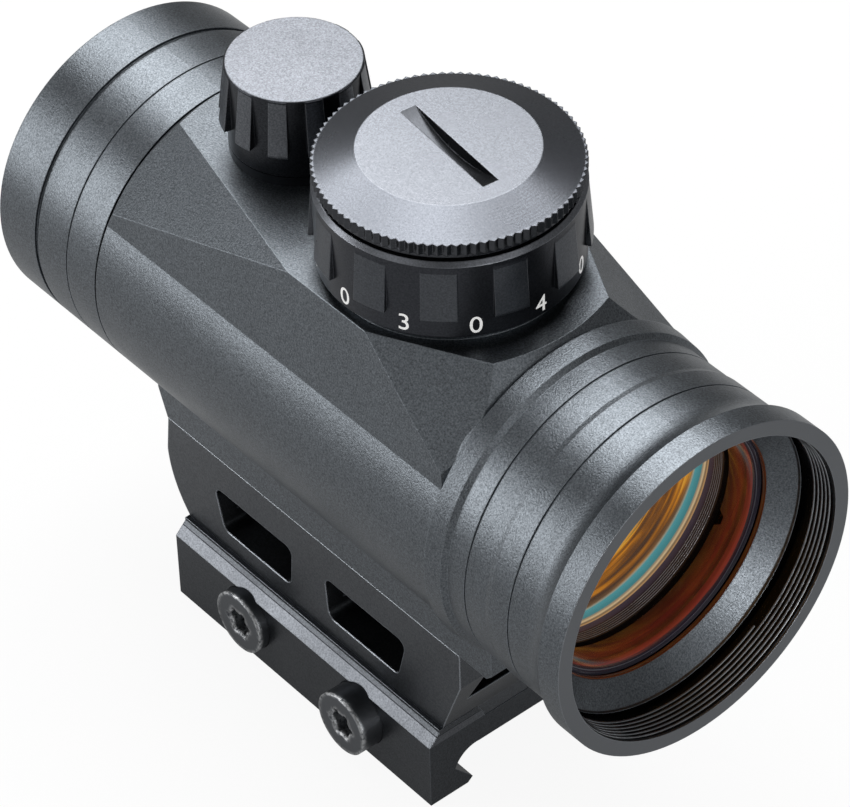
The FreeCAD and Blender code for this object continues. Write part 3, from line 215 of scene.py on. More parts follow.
# %% [markdown]
# ### Bead-blasted anodised aluminium
# Glass beads leave fine round dents in the metal, which the anodising keeps. Light breaks up on
# them into bright and dark grains, and each highlight turns wide and soft. The dents are a few
# hundredths of a millimetre across; they are drawn coarser, at a fifth of a millimetre, so that
# they show.
#
# Some faces of a blasted part take another tone, each past a certain height along one axis. The
# rim's front face was faced off on the lathe and looks plain. The knobs' crowns are painted paler
# as a highlight. The clamp's sloping bevel is painted paler as a highlight, with a painted shadow
# line under the riser and a slightly paler ledge above it. A knob's raised pads and the battery
# cap's cone start beyond a certain distance from its axis, and are painted paler as a sheen. Each
# such face could be a material of its own, but the CAD gives one slot to a node, so one material
# tells its faces apart by place.


# %% Places and lathe marks round an upright axis
def round_upright(tree, place, centre):
    """Each point's place from an upright axis, and its distance from it."""
    offset = add(tree, "ShaderNodeMapping", {"Vector": place,
                 "Location": (-centre.x * MM, -centre.y * MM, 0)}).outputs["Vector"]
    level = add(tree, "ShaderNodeVectorMath", {0: offset, 1: (1, 1, 0)}, operation="MULTIPLY")
    radius = add(tree, "ShaderNodeVectorMath", {0: level.outputs["Vector"]}, operation="LENGTH")
    return offset, radius.outputs["Value"]


def crown_rings(tree, offset, radius, rings, normal):
    """A normal with lathe marks outside a radius; rings: (pitch, depth, from radius)."""
    pitch, cut, inner = rings
    marks = add(tree, "ShaderNodeTexWave", {"Vector": offset, "Distortion": 1.5,
                "Scale": wave_scale(pitch), "Detail Scale": 3.0},
                wave_type="RINGS", rings_direction="Z")
    outside = add(tree, "ShaderNodeMath", {0: radius, 1: inner * MM}, operation="GREATER_THAN")
    ridge = add(tree, "ShaderNodeMath", {0: marks.outputs["Fac"], 1: outside.outputs[0]},
                operation="MULTIPLY")
    return add(tree, "ShaderNodeBump", {"Height": ridge.outputs[0], "Normal": normal,
               "Strength": 0.5, "Distance": cut * MM}).outputs["Normal"]


# %% Faces with a tone of their own, and painted highlights and shade
def face_tones_and_sheen(tree, place, radius, colour, pads, caps):
    """The coating's colour with the tones of pads and caps, and 1 on the last of the caps.
    Pads are painted paler as a sheen; caps are a face's own tone, a painted highlight or a painted
    shadow.
    """
    tint, above = linear(colour), None
    if pads or caps:
        axes = add(tree, "ShaderNodeSeparateXYZ", {0: place}).outputs
    if pads:
        reach, face, base = pads
        proud = add(tree, "ShaderNodeMath", {0: radius, 1: reach * MM}, operation="GREATER_THAN")
        upper = add(tree, "ShaderNodeMath", {0: axes["Z"], 1: base * MM}, operation="GREATER_THAN")
        proud = add(tree, "ShaderNodeMath", {0: proud.outputs[0], 1: upper.outputs[0]},
                    operation="MULTIPLY")
        tint = add(tree, "ShaderNodeMixRGB", {"Fac": proud.outputs[0], "Color1": tint,
                                              "Color2": linear(face)}).outputs["Color"]
    for height, face in caps[1:] if caps else ():
        above = add(tree, "ShaderNodeMath", {0: axes[caps[0]], 1: height * MM},
                    operation="GREATER_THAN").outputs[0]
        tint = add(tree, "ShaderNodeMixRGB", {"Fac": above, "Color1": tint,
                                              "Color2": linear(face)}).outputs["Color"]
    return tint, above


# %% Bead-blasted metal
GRAIN = 0.2    # the dents as drawn
PATCH = 7      # the blasting is never quite even: the gloss changes over some millimetres
GRIT = 0.7     # how strongly the dents turn the light


def blasted(name, colour, roughness, depth=0.02, speckle=0.5, edge=0.16, rub=0.5, wear=0.05,
            caps=None, plain_caps=False, centre=None, pads=None, rings=None):
    """Anodised metal with blasted grain; sizes in millimetres.
    caps: (axis letter, (height, colour), ...) for faces past each height, in a face's own tone,
    a painted highlight or a painted shadow line; plain_caps: no grain.
    centre: an upright axis; pads: (radius, colour, low z) of faces beyond that radius and height,
    painted paler as a sheen;
    rings: (pitch, depth, from radius) of lathe marks round it."""
    material, tree, shader = new_material(name, colour, 1.0, roughness)
    place = add(tree, "ShaderNodeTexCoord").outputs["Object"]
    dents = add(tree, "ShaderNodeTexNoise", {"Vector": place, "Scale": noise_scale(GRAIN),
                "Detail": 2.0, "Roughness": 0.7}).outputs["Fac"]
    patches = add(tree, "ShaderNodeTexNoise", {"Vector": place, "Scale": noise_scale(PATCH),
                  "Detail": 4.0})
    gloss = add(tree, "ShaderNodeMapRange", {"Value": patches.outputs["Fac"], "From Min": LEAST,
                "From Max": MOST, "To Min": roughness - wear, "To Max": roughness + wear})
    tree.links.new(gloss.outputs["Result"], shader.inputs["Roughness"])

    normal, rubbed = worn_edges(tree, edge, 4, 0.86, rub)
    offset, radius = round_upright(tree, place, centre) if centre else (None, None)
    if rings:
        normal = crown_rings(tree, offset, radius, rings, normal)
    bump = add(tree, "ShaderNodeBump", {"Height": dents, "Normal": normal, "Strength": GRIT,
                                        "Distance": depth * MM})
    tree.links.new(bump.outputs["Normal"], shader.inputs["Normal"])

    tint, above = face_tones_and_sheen(tree, place, radius, colour, pads, caps)
    grains = add(tree, "ShaderNodeMapRange", {"Value": dents, "From Min": LEAST, "From Max": MOST,
                 "To Min": 1 - speckle, "To Max": 1 + speckle}).outputs["Result"]
    if plain_caps:
        grains = add(tree, "ShaderNodeMixRGB", {"Fac": above, "Color1": grains,
                                                "Color2": (1, 1, 1, 1)}).outputs["Color"]
        grit = add(tree, "ShaderNodeMapRange", {"Value": above, "To Min": GRIT, "To Max": 0.12})
        tree.links.new(grit.outputs["Result"], bump.inputs["Strength"])
    lift = add(tree, "ShaderNodeMath", {0: grains, 1: rubbed}, operation="ADD")
    shade = add(tree, "ShaderNodeVectorMath", {0: tint[:3] if isinstance(tint, list) else tint,
                "Scale": lift.outputs[0]}, operation="SCALE")
    tree.links.new(shade.outputs["Vector"], shader.inputs["Base Color"])
    return material


# %% [markdown]
# The tube and both bells are one batch of grey, so they share their numbers. The mount is
# charcoal, with edges that a rail has rubbed. The knobs are black with finer grain, because they
# were turned smooth before the blasting.

# %% Grey tube and bells
# The third tone is a painted highlight, which the knobs' top faces are painted in.
GREY, BLACK, CROWN_HIGHLIGHT = "6b7075", "4e5054", "7c7f85"
# Soft silver-grey with a visible sparkle, and thin pale lines along the facets' edges.
TUBE = {"speckle": 0.44, "depth": 0.042, "rub": 0.9}
BODY = blasted("bead_blasted_grey_anodised_aluminium", GREY, 0.34, **TUBE)
# The same, but the rim's front face was faced off on the lathe and looks plain.
BELL = blasted("bead_blasted_grey_anodised_bell", GREY, 0.34, **TUBE,
               caps=("X", (RIM - 0.03, "777a7e")), plain_caps=True)
dress(BODY, "main_housing", "rear_bell")
dress(BELL, "front_bell")
print("grey finishes:", BODY.name, BELL.name)

# %% Charcoal mount
LEDGE = FLOOR + 10.5    # the clamp's long top ledge
# A darker, flatter grey whose rubbed edges draw the windows as bright outlines.
MOUNT = blasted("bead_blasted_charcoal_anodised_aluminium", "5c5f63", 0.33, speckle=0.3,
                depth=0.026, edge=0.26, rub=4.0)
# The jaws' sloping bevel is painted paler as a highlight, and a painted shadow line lies
# under the riser, with a slightly paler ledge above it.
CLAMP = blasted("bead_blasted_charcoal_anodised_clamp", "4d5054", 0.33, speckle=0.3, depth=0.03,
                rub=1.7, caps=("Z", (LEDGE - 1.5, "6a6d72"), (LEDGE - 0.45, "2c2e31"),
                               (LEDGE - 0.36, "54575b")))
dress(MOUNT, "riser")
dress(CLAMP, "clamp_base", "clamp_jaw")
print("mount finishes:", MOUNT.name, CLAMP.name)

# %% Black knobs
CONE = high("battery_cap").z - 1.54    # where the cap's knurls end and its cone begins
# Nearly black between the pads; pads and crown are painted paler, as a sheen and a highlight.
KNOB = blasted("fine_blasted_black_anodised_aluminium", "43454a", 0.3, depth=0.01, speckle=0.25,
               caps=("Z", (high("brightness_dial").z - 0.5, CROWN_HIGHLIGHT)), centre=DIAL,
               pads=(14.27, "5a5d62", 0.0))
# A smooth disc painted paler as a highlight, and a turned cone painted paler as a sheen,
# whose lathe marks fan its highlight out into two bright wedges.
COVER = blasted("black_anodised_aluminium_with_turned_crown", BLACK, 0.27, depth=0.002,
                speckle=0.17, wear=0.01, caps=("Z", (high("battery_cap").z - 0.012, "787b81")),
                centre=DIAL, pads=(9.62, "6a6d73", CONE), rings=(0.34, 0.0016, 9.65))
# A satin crown painted paler as the highlight of the lamp overhead, and pads painted paler as
# a sheen, over dark sides.
TOP_CAP = blasted("black_anodised_turret_cap", "3c3e42", 0.32, depth=0.014, speckle=0.34,
                  caps=("Z", (high("elevation_cap").z - 0.08, CROWN_HIGHLIGHT)), centre=TURRET,
                  pads=(7.52, "696c71", 0.0))
# A dark cap whose end face is painted paler as a highlight.
SIDE_CAP = blasted("black_anodised_side_turret_cap", BLACK, 0.34, depth=0.01, speckle=0.34,
                   caps=("Y", (high("windage_cap").y - 0.08, CROWN_HIGHLIGHT)))
dress(KNOB, "brightness_dial")
dress(COVER, "battery_cap")
dress(TOP_CAP, "elevation_cap")
dress(SIDE_CAP, "windage_cap")
print("knob finishes:", [m.name for m in (KNOB, COVER, TOP_CAP, SIDE_CAP)])

# %% [markdown]
# ### Turned metal
# What was cut on a lathe keeps a fine spiral groove from the tool. The groove runs round the axis
# of the lathe, so the pattern is a set of rings about that axis, and it breaks a highlight into a
# fan of thin lines. Real feeds are 0.05 to 0.1 mm a turn; 0.2 mm is drawn, so that the lines show.

# %% Lathe-turned metal
STAIN = 0.15    # how much darker or paler the oil and fingerprints leave the metal


def turned(name, colour, roughness, centre, axis, pitch=0.2, cut=0.006, **more):
    """Metal with lathe marks round an axis letter through a centre, sizes in millimetres."""
    material, tree, shader = new_material(name, colour, 1.0, roughness, **more)
    place = add(tree, "ShaderNodeTexCoord").outputs["Object"]
    about = add(tree, "ShaderNodeMapping", {"Vector": place, "Location": -centre * MM})
    lines = {"Vector": about.outputs["Vector"], "Scale": wave_scale(pitch), "Distortion": 2.0,
             "Detail Scale": 2.0}
    faced = add(tree, "ShaderNodeTexWave", lines, wave_type="RINGS", rings_direction=axis)
    bored = add(tree, "ShaderNodeTexWave", lines, wave_type="BANDS", bands_direction=axis)
    both = add(tree, "ShaderNodeMath", {0: faced.outputs["Fac"], 1: bored.outputs["Fac"]},
               operation="ADD")
    bump = add(tree, "ShaderNodeBump", {"Height": both.outputs[0], "Strength": 0.6,
                                        "Distance": cut * MM})
    tree.links.new(bump.outputs["Normal"], shader.inputs["Normal"])
    cloud = add(tree, "ShaderNodeTexNoise", {"Vector": place, "Scale": noise_scale(2.5),
                                             "Detail": 5.0}).outputs["Fac"]
    uneven(tree, shader, colour, cloud, 1 - STAIN, 1 + STAIN)
    rough = add(tree, "ShaderNodeMapRange", {"Value": cloud, "From Min": LEAST, "From Max": MOST,
                "To Min": roughness - 0.06, "To Max": roughness + 0.08})
    tree.links.new(rough.outputs["Result"], shader.inputs["Roughness"])
    return material


# %% Turned pieces inside the tube and under the caps
TUBE_LATHE = Vector((0, AXIS.y, AXIS.z))
UP_LATHE = Vector((TURRET.x, TURRET.y, 0))
SIDE_LATHE = Vector((SIDE_TURRET.x, 0, SIDE_TURRET.z))
DIAL_LATHE = Vector((DIAL.x, DIAL.y, 0))
PIN_LATHE = Vector((middle("gimbal_pins_level").x, 0, AXIS.z))

# Dull black that kills stray light in the tube.
INNER = turned("matt_black_anodised_aluminium", "17181a", 0.5, TUBE_LATHE, "X", 0.3, 0.01)
# Satin black with thin bright circles.
RINGS = turned("satin_black_anodised_aluminium", "26282b", 0.3, TUBE_LATHE, "X", 0.25)
# Warm yellow with a fan of lines across its end faces.
BRASS_UP = turned("turned_brass_upright", "b99a5b", 0.28, UP_LATHE, "Z")
BRASS_SIDE = turned("turned_brass_sideways", "b99a5b", 0.28, SIDE_LATHE, "Y")
# Smoother and glossier than the blasted knobs above them.
SEAT_UP = turned("turned_black_anodised_seat", "3a3c40", 0.32, UP_LATHE, "Z")
SEAT_SIDE = turned("turned_black_anodised_side_seat", "3a3c40", 0.32, SIDE_LATHE, "Y")
HOLDER = turned("turned_black_anodised_holder", "2a2c2f", 0.34, DIAL_LATHE, "Z")
# Bright and neutral, with soft circles, as a coin cell's can is.
NICKEL = turned("nickel_plated_steel_can", "b9bbbd", 0.24, DIAL_LATHE, "Z", 0.35, 0.003)
PINS = turned("ground_steel_pins", "a3a5a8", 0.22, PIN_LATHE, "X", 0.12, 0.003)
dress(INNER, "inner_tube", "emitter_bracket")
dress(RINGS, "gimbal_ring", "ocular_retaining_ring", "objective_retaining_ring")
dress(BRASS_UP, "elevation_plunger", "elevation_dial")
dress(BRASS_SIDE, "windage_plunger", "windage_dial")
dress(SEAT_UP, "elevation_seat")
dress(SEAT_SIDE, "windage_seat")
dress(HOLDER, "battery_holder")
dress(NICKEL, "coin_cell")
dress(PINS, "gimbal_pins_upright", "gimbal_pins_level")
print("turned finishes:", [m.name for m in (INNER, RINGS, BRASS_UP, SEAT_UP, HOLDER, NICKEL)])

# %% [markdown]
# ### Screws, springs and contacts
# The screws are steel with a black oxide skin, which rubs through to bright steel on every edge
# that a key or a thumb touches. The clamp's bolts are turned most often, so their star sockets are
# bare. Springs and contacts are rolled strip, so their lines run straight.

# %% Black oxide
BARE_STEEL = "d2d4d6"
SOCKET_OUT, SOCKET_IN = 2.1, 1.7    # between these radii a keyed socket turns bare


def bare_sockets(tree, place, rubbed, sockets):
    """Where steel is bare: rubbed as before, and round each socket (x, z) on the near side."""
    across = add(tree, "ShaderNodeSeparateXYZ", {0: place}).outputs["Y"]
    near = add(tree, "ShaderNodeMath", {0: across, 1: 0.0}, operation="LESS_THAN")
    for x, z in sockets:
        flat = add(tree, "ShaderNodeMapping", {"Vector": place,
                                               "Location": (-x * MM, 0, -z * MM)})
        flat = add(tree, "ShaderNodeVectorMath", {0: flat.outputs["Vector"], 1: (1, 0, 1)},
                   operation="MULTIPLY")
        away = add(tree, "ShaderNodeVectorMath", {0: flat.outputs["Vector"]}, operation="LENGTH")
        keyed = add(tree, "ShaderNodeMapRange", {"Value": away.outputs["Value"],
                    "From Min": SOCKET_OUT * MM, "From Max": SOCKET_IN * MM, "To Max": 0.75})
        keyed = add(tree, "ShaderNodeMath", {0: keyed.outputs["Result"], 1: near.outputs[0]},
                    operation="MULTIPLY")
        rubbed = add(tree, "ShaderNodeMath", {0: rubbed, 1: keyed.outputs[0]},
                     operation="MAXIMUM").outputs[0]
    return rubbed


def black_oxide(name, colour, soft, sockets=None):
    """Black steel, edges rounded by soft millimetres and rubbed bare, as are its sockets."""
    material, tree, shader = new_material(name, colour, 1.0, 0.36)
    place = add(tree, "ShaderNodeTexCoord").outputs["Object"]
    grime = add(tree, "ShaderNodeTexNoise", {"Vector": place, "Scale": noise_scale(0.45),
                                             "Detail": 4.0}).outputs["Fac"]
    normal, rubbed = worn_edges(tree, soft, 8, 0.88, 1.0)
    if sockets:
        rubbed = bare_sockets(tree, place, rubbed, sockets)
    patchy = add(tree, "ShaderNodeMapRange", {"Value": grime, "From Min": 0.36, "From Max": 0.56})
    bare = add(tree, "ShaderNodeMath", {0: rubbed, 1: patchy.outputs["Result"]},
               operation="MULTIPLY")
    mix = add(tree, "ShaderNodeMixRGB", {"Fac": bare.outputs[0], "Color1": linear(colour),
                                         "Color2": linear(BARE_STEEL)})
    tree.links.new(mix.outputs["Color"], shader.inputs["Base Color"])
    bump = add(tree, "ShaderNodeBump", {"Height": grime, "Strength": 0.5, "Distance": 0.03 * MM,
                                        "Normal": normal})
    tree.links.new(bump.outputs["Normal"], shader.inputs["Normal"])
    return material


BOLTS = ("clamp_bolt_front", "clamp_bolt_rear")
# Dark heads with a thin pale ring at every edge.
OXIDE = black_oxide("black_oxide_steel", "46484c", 0.3)
# The same, rubbed paler, with broad soft edges and blotches of bright steel in the sockets.
BOLT = black_oxide("black_oxide_steel_with_bare_sockets", "6a6d71", 1.0,
                   [(middle(bolt).x, middle(bolt).z) for bolt in BOLTS])
dress(OXIDE, "riser_screws", "clamp_screws")
dress(BOLT, *BOLTS)
print("steel finishes:", OXIDE.name, BOLT.name)


# %% Rolled strip
def rolled(name, colour, roughness, grain):
    """Rolled strip: grain gives the noise's size along x, y and z in millimetres."""
    material, tree, shader = new_material(name, colour, 1.0, roughness)
    place = add(tree, "ShaderNodeTexCoord").outputs["Object"]
    drawn = add(tree, "ShaderNodeMapping", {"Vector": place,
                                            "Scale": [noise_scale(size) for size in grain]})
    lines = add(tree, "ShaderNodeTexNoise", {"Vector": drawn.outputs["Vector"], "Scale": 1.0,
                                             "Detail": 3.0}).outputs["Fac"]
    rough = add(tree, "ShaderNodeMapRange", {"Value": lines, "To Min": roughness - 0.1,
                                             "To Max": roughness + 0.15})
    tree.links.new(rough.outputs["Result"], shader.inputs["Roughness"])
    uneven(tree, shader, colour, lines, 0.82, 1.12)
    bump = add(tree, "ShaderNodeBump", {"Height": lines, "Strength": 0.3,
                                        "Distance": 0.005 * MM})
    tree.links.new(bump.outputs["Normal"], shader.inputs["Normal"])
    return material


# Grey with a blue tempering colour; warm copper-gold; bright nickel. All show straight lines.
SPRING = rolled("blued_spring_strip", "6d7078", 0.3, (6.0, 0.15, 0.15))
BRONZE = rolled("phosphor_bronze_strip", "b98a5a", 0.28, (3.0, 0.12, 0.12))
STRIP = rolled("nickel_plated_strip", "b4b4b0", 0.26, (3.0, 0.12, 0.12))
dress(SPRING, "return_spring", "click_washer")
dress(STRIP, "cell_contact")
dress(BRONZE, "switch_wiper")
print("strip finishes:", SPRING.name, BRONZE.name, STRIP.name)

# %% [markdown]
# ### Rubber, board and epoxy
# The seals are moulded nitrile rubber: nearly black, dull, with a faint bloom. The switch board is
# glass fibre under green solder mask, through which the copper tracks show as paler rings where
# the wiper runs. The diode is a drop of clear red epoxy.


# %% Rubber, board, epoxy
def speckled(name, colour, paler, roughness, grain, **more):
    """A moulded surface: two close tones in clouds and a slight unevenness."""
    material, tree, shader = new_material(name, colour, 0.0, roughness, **more)
    place = add(tree, "ShaderNodeTexCoord").outputs["Object"]
    cloud = add(tree, "ShaderNodeTexNoise", {"Vector": place, "Scale": noise_scale(grain),
                                             "Detail": 4.0}).outputs["Fac"]
    mix = add(tree, "ShaderNodeMixRGB", {"Fac": cloud, "Color1": linear(colour),
                                         "Color2": linear(paler)})
    tree.links.new(mix.outputs["Color"], shader.inputs["Base Color"])
    bump = add(tree, "ShaderNodeBump", {"Height": cloud, "Strength": 0.3, "Distance": 0.02 * MM})
    tree.links.new(bump.outputs["Normal"], shader.inputs["Normal"])
    return material, tree, shader, mix


def track_board():
    """Green solder mask with paler rings over the copper tracks."""
    material, tree, shader, mask = speckled("green_solder_mask", "0f3d26", "16502f", 0.35, 0.8,
                                            Coat_Weight=0.3)
    place = add(tree, "ShaderNodeTexCoord").outputs["Object"]
    about = add(tree, "ShaderNodeMapping", {"Vector": place, "Location": -DIAL_LATHE * MM})
    tracks = add(tree, "ShaderNodeTexWave", {"Vector": about.outputs["Vector"],
                 "Scale": wave_scale(2.4)}, wave_type="RINGS", rings_direction="Z")
    track = add(tree, "ShaderNodeMapRange", {"Value": tracks.outputs["Fac"], "From Min": 0.55,
                                             "From Max": 0.62})
    copper = add(tree, "ShaderNodeMixRGB", {"Fac": track.outputs["Result"],
                 "Color1": mask.outputs["Color"], "Color2": linear("2f8a52")})
    tree.links.new(copper.outputs["Color"], shader.inputs["Base Color"])
    return material


RUBBER = speckled("nitrile_rubber", "141416", "26272a", 0.68, 0.5)[0]
EPOXY = speckled("clear_red_epoxy", "8f0d0b", "c41c14", 0.08, 1.2, Coat_Weight=0.6,
                 Coat_Roughness=0.03)[0]
BOARD = track_board()
dress(RUBBER, "bell_seals", "elevation_seal", "windage_seal", "battery_cap_seal")
dress(BOARD, "switch_board")
dress(EPOXY, "emitter_diode")
print("moulded finishes:", RUBBER.name, EPOXY.name, BOARD.name)

# %% [markdown]
# ## What lies inside the mouth
# Behind the rim come a thread for accessories, a black relief groove and a conical funnel. Then
# the ring that holds the lens, the coated lens itself, and the wall of the inner tube, on which
# the lens's coating throws coloured rings.
#
# A thread crest is one line that winds round an axis, so Geometry Nodes make it: a spiral curve
# with a small diamond swept along it, half of it sunk in the wall. The tree's inputs are the sizes
# that a machinist would name, and the same tree makes the fine ridges that kill stray light
# further in.


# %% Finished pieces and trees
def piece(name, mesh, material, body):
    """A finished object at the origin, riding on a body."""
    if material:
        mesh.materials.clear()
        mesh.materials.append(material)
    mesh.name = name
    obj = bpy.data.objects.new(name, mesh)
    bpy.context.scene.collection.objects.link(obj)
    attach(obj, body)
    return obj


def new_tree(name, sizes):
    """A Geometry Nodes tree with named sizes, a finish and one geometry output."""
    tree = bpy.data.node_groups.new(name, "GeometryNodeTree")
    for size, kind in sizes:
        tree.interface.new_socket(size, in_out="INPUT", socket_type="NodeSocket" + kind)
    tree.interface.new_socket("Finish", in_out="INPUT", socket_type="NodeSocketMaterial")
    tree.interface.new_socket("Geometry", in_out="OUTPUT", socket_type="NodeSocketGeometry")
    return tree, tree.nodes.new("NodeGroupInput").outputs, tree.nodes.new("NodeGroupOutput")


def end_tree(tree, shape, finish, out):
    """Close a tree: instances made real, the finish set, and the output linked."""
    real = add(tree, "GeometryNodeRealizeInstances", {0: shape})
    done = add(tree, "GeometryNodeSetMaterial", {0: real.outputs[0], "Material": finish})
    tree.links.new(done.outputs[0], out.inputs[0])


def grow(tree, values):
    """Run a tree with its sizes set and hand back the result as a plain mesh."""
    maker = bpy.data.objects.new("maker", bpy.data.meshes.new("maker"))
    bpy.context.scene.collection.objects.link(maker)
    modifier = maker.modifiers.new("maker", "NODES")
    modifier.node_group = tree
    for item in tree.interface.items_tree:
        if item.name in values:
            modifier[item.identifier] = values[item.name]
    graph = bpy.context.evaluated_depsgraph_get()
    mesh = bpy.data.meshes.new_from_object(maker.evaluated_get(graph))
    bpy.data.objects.remove(maker)
    return mesh


# %% The tree for thread and ridges
def ridge_tree():
    """A crest that winds rearwards round the optical axis, starting at a given x."""
    tree, sizes, out = new_tree("winding_crest", [
        (size, "Float") for size in ("Start", "Radius", "Pitch", "Turns", "Crest", "Axis Height")])
    run = add(tree, "ShaderNodeMath", {0: sizes["Pitch"], 1: sizes["Turns"]},
              operation="MULTIPLY")
    line = add(tree, "GeometryNodeCurveSpiral", {"Resolution": 96, "Rotations": sizes["Turns"],
               "Start Radius": sizes["Radius"], "End Radius": sizes["Radius"],
               "Height": run.outputs[0]})
    line = add(tree, "GeometryNodeSetCurveNormal", {"Curve": line.outputs[0]}, mode="Z_UP")
    diamond = add(tree, "GeometryNodeCurvePrimitiveCircle", {"Resolution": 4,
                                                             "Radius": sizes["Crest"]})
    crest = add(tree, "GeometryNodeCurveToMesh", {"Curve": line.outputs[0],
                "Profile Curve": diamond.outputs["Curve"], "Fill Caps": True})
    to_axis = add(tree, "ShaderNodeCombineXYZ", {"X": sizes["Start"], "Z": sizes["Axis Height"]})
    lay = add(tree, "GeometryNodeTransform", {"Geometry": crest.outputs[0],
              "Translation": to_axis.outputs[0], "Rotation": (0, -math.pi / 2, 0)})
    end_tree(tree, lay.outputs[0], sizes["Finish"], out)
    return tree


def wind(setback, radius, pitch, turns, crest, finish):
    """A wound crest, from its distance behind the rim, with all sizes in millimetres."""
    return grow(RIDGES, {
        "Start": (RIM - setback) * MM, "Radius": radius * MM, "Pitch": pitch * MM,
        "Turns": turns, "Crest": crest * MM, "Axis Height": AXIS.z * MM, "Finish": finish})


RIDGES = ridge_tree()
print("crest tree:", len(RIDGES.nodes), "nodes")

# %% [markdown]
# The accessory thread has a pitch of 0.57 mm and runs five and a half turns. It is cut bare after
# the blasting, so its flanks are glossy and catch the light as thin lines.

# %% Accessory thread
GLOSSY_CUT = turned("bright_cut_thread_crest", "a4a7ab", 0.34, TUBE_LATHE, "X", 0.19, 0.004)
crest = wind(0.42, 18.2, 0.57, 5.6, 0.2, GLOSSY_CUT)
thread = piece("accessory_thread", crest, None, "sight")
print("thread:", len(thread.data.polygons), "faces")


# %% [markdown]
# Everything else in the mouth is round, so each piece is a short list of corners, given as the
# distance behind the rim and the radius, swept once round the optical axis. A corner may move with
# the angle, which cuts a notch.

# %% Sweep a profile round the optical axis
MERGE = 0.0005       # corners closer than this are one, which also closes a pole on the axis
SHARPEST = 25        # degrees; a steeper edge stays sharp


def swept(corners, steps=192, notch=None):
    """A closed ring from corners (setback, radius); notch: (angles, half width, corners, shift)."""
    shape = bmesh.new()
    loops = []
    for k in range(steps):
        angle = 2 * math.pi * k / steps
        here = [list(c) for c in corners]
        if notch:
            angles, half, moved, shift = notch
            for turn in angles:
                if abs((math.degrees(angle) - turn + 180) % 360 - 180) <= half:
                    for corner in moved:
                        here[corner][0] -= shift
        loops.append([shape.verts.new(((RIM - setback) * MM, radius * math.sin(angle) * MM,
                                       (AXIS.z + radius * math.cos(angle)) * MM))
                      for setback, radius in here])
    for k in range(steps):
        one, two = loops[k], loops[(k + 1) % steps]
        for j in range(len(corners)):
            i = (j + 1) % len(corners)
            shape.faces.new((one[j], one[i], two[i], two[j]))
    bmesh.ops.remove_doubles(shape, verts=shape.verts, dist=MERGE * MM)
    bmesh.ops.recalc_face_normals(shape, faces=shape.faces)
    mesh = bpy.data.meshes.new("swept")
    shape.to_mesh(mesh)
    shape.free()
    mesh.shade_smooth()
    mesh.set_sharp_from_angle(angle=math.radians(SHARPEST))
    return mesh


# %% [markdown]
# Between thread and funnel the bore is relieved by a groove, where the cutting tool could run out.
# It is gloss black, and it reads as a dark band. The liner is a thin sleeve with that groove in
# its profile, so one sweep makes the band and the dark wall between the thread's crests.

# %% Black liner behind the thread
LINER = turned("gloss_black_relief", "1b1d20", 0.24, TUBE_LATHE, "X", 0.3, 0.008)
liner = piece("relief_liner", swept([
    (0.28, 18.19), (0.32, 18.13), (3.62, 18.13), (3.66, 18.55), (4.84, 18.55), (4.86, 17.95),
    (4.89, 17.95), (4.89, 18.59), (3.61, 18.59), (3.59, 18.19)]), LINER, "sight")
print("liner:", len(liner.data.polygons), "faces")

# %% [markdown]
# ### The lens ring
# The ring that clamps the lens has a stepped front edge and a long glossy bore. The lens behind it
# is coated to mirror red light, and its red-brown reflection on the bore is painted, with a little
# emission as a painted glow, brightest at the front edge. A film in the shader changes its colour
# with the view and is hard to steer, so a colour ramp along the axis paints the glow. Two notches
# in the ring's rear edge take a pin spanner.

# %% Lens ring finish
RING_FRONT, RING_BACK = 7.9, 12.1    # distances behind the rim
WOBBLE = 0.9                         # how far the streaks push the bands along the axis


def fill_ramp(node, stops):
    """Put colours (place, hex) on a Color Ramp that has one stop at each end."""
    for spot, code in stops[1:-1]:
        node.color_ramp.elements.new(spot)
    for element, (spot, code) in zip(node.color_ramp.elements, stops):
        element.position, element.color = spot, linear(code)


def streaks(tree, place, along, around, **more):
    """Noise drawn out round the tube; sizes along and around in millimetres."""
    spread = add(tree, "ShaderNodeMapping", {"Vector": place, "Scale": (
        noise_scale(along), noise_scale(around), noise_scale(around))})
    return add(tree, "ShaderNodeTexNoise", {"Vector": spread.outputs["Vector"], "Scale": 1.0,
                                            **more}).outputs["Fac"]


def ring_red_reflection():
    """A glossy coat over a painted red-brown reflection and glow: dark, redder at the front edge.
    """
    material, tree, shader = new_material("glossy_ring_with_painted_red_reflection", "42201c", 0.25, 0.16,
                                          Coat_Weight=0.7, Coat_Roughness=0.05,
                                          Emission_Strength=0.3)
    place = add(tree, "ShaderNodeTexCoord").outputs["Object"]
    along = add(tree, "ShaderNodeSeparateXYZ", {0: place}).outputs["X"]
    streak = streaks(tree, place, 0.35, 9, Detail=4.0)
    shift = add(tree, "ShaderNodeMath", {0: streak, 1: WOBBLE * MM, 2: along},
                operation="MULTIPLY_ADD")
    depth = add(tree, "ShaderNodeMapRange", {"Value": shift.outputs[0],
                "From Min": (RIM - RING_BACK + WOBBLE / 2) * MM,
                "From Max": (RIM - RING_FRONT + WOBBLE / 2) * MM})
    bands = add(tree, "ShaderNodeValToRGB", {"Fac": depth.outputs["Result"]})
    fill_ramp(bands, ((0.0, "180808"), (0.2, "3a0e0e"), (0.45, "5c1a16"), (0.62, "340c0e"),
                      (0.84, "903229"), (0.88, "421c1d"), (0.92, "2c2833"), (1.0, "2b2930")))
    tree.links.new(bands.outputs["Color"], shader.inputs["Base Color"])
    tree.links.new(bands.outputs["Color"], shader.inputs["Emission Color"])
    bump = add(tree, "ShaderNodeBump", {"Height": streak, "Strength": 0.35,
                                        "Distance": 0.02 * MM})
    tree.links.new(bump.outputs["Normal"], shader.inputs["Normal"])
    return material


RED_REFLECTION = ring_red_reflection()
# A thin orange-brown edge where the funnel ends, painted as a reflection of the red coating.
LIP = speckled("orange_brown_lip_with_painted_reflection", "4a2410", "7a3d18", 0.2, 2.5, Coat_Weight=0.5,
               Coat_Roughness=0.06)[0]
print("ring finishes:", RED_REFLECTION.name, LIP.name)

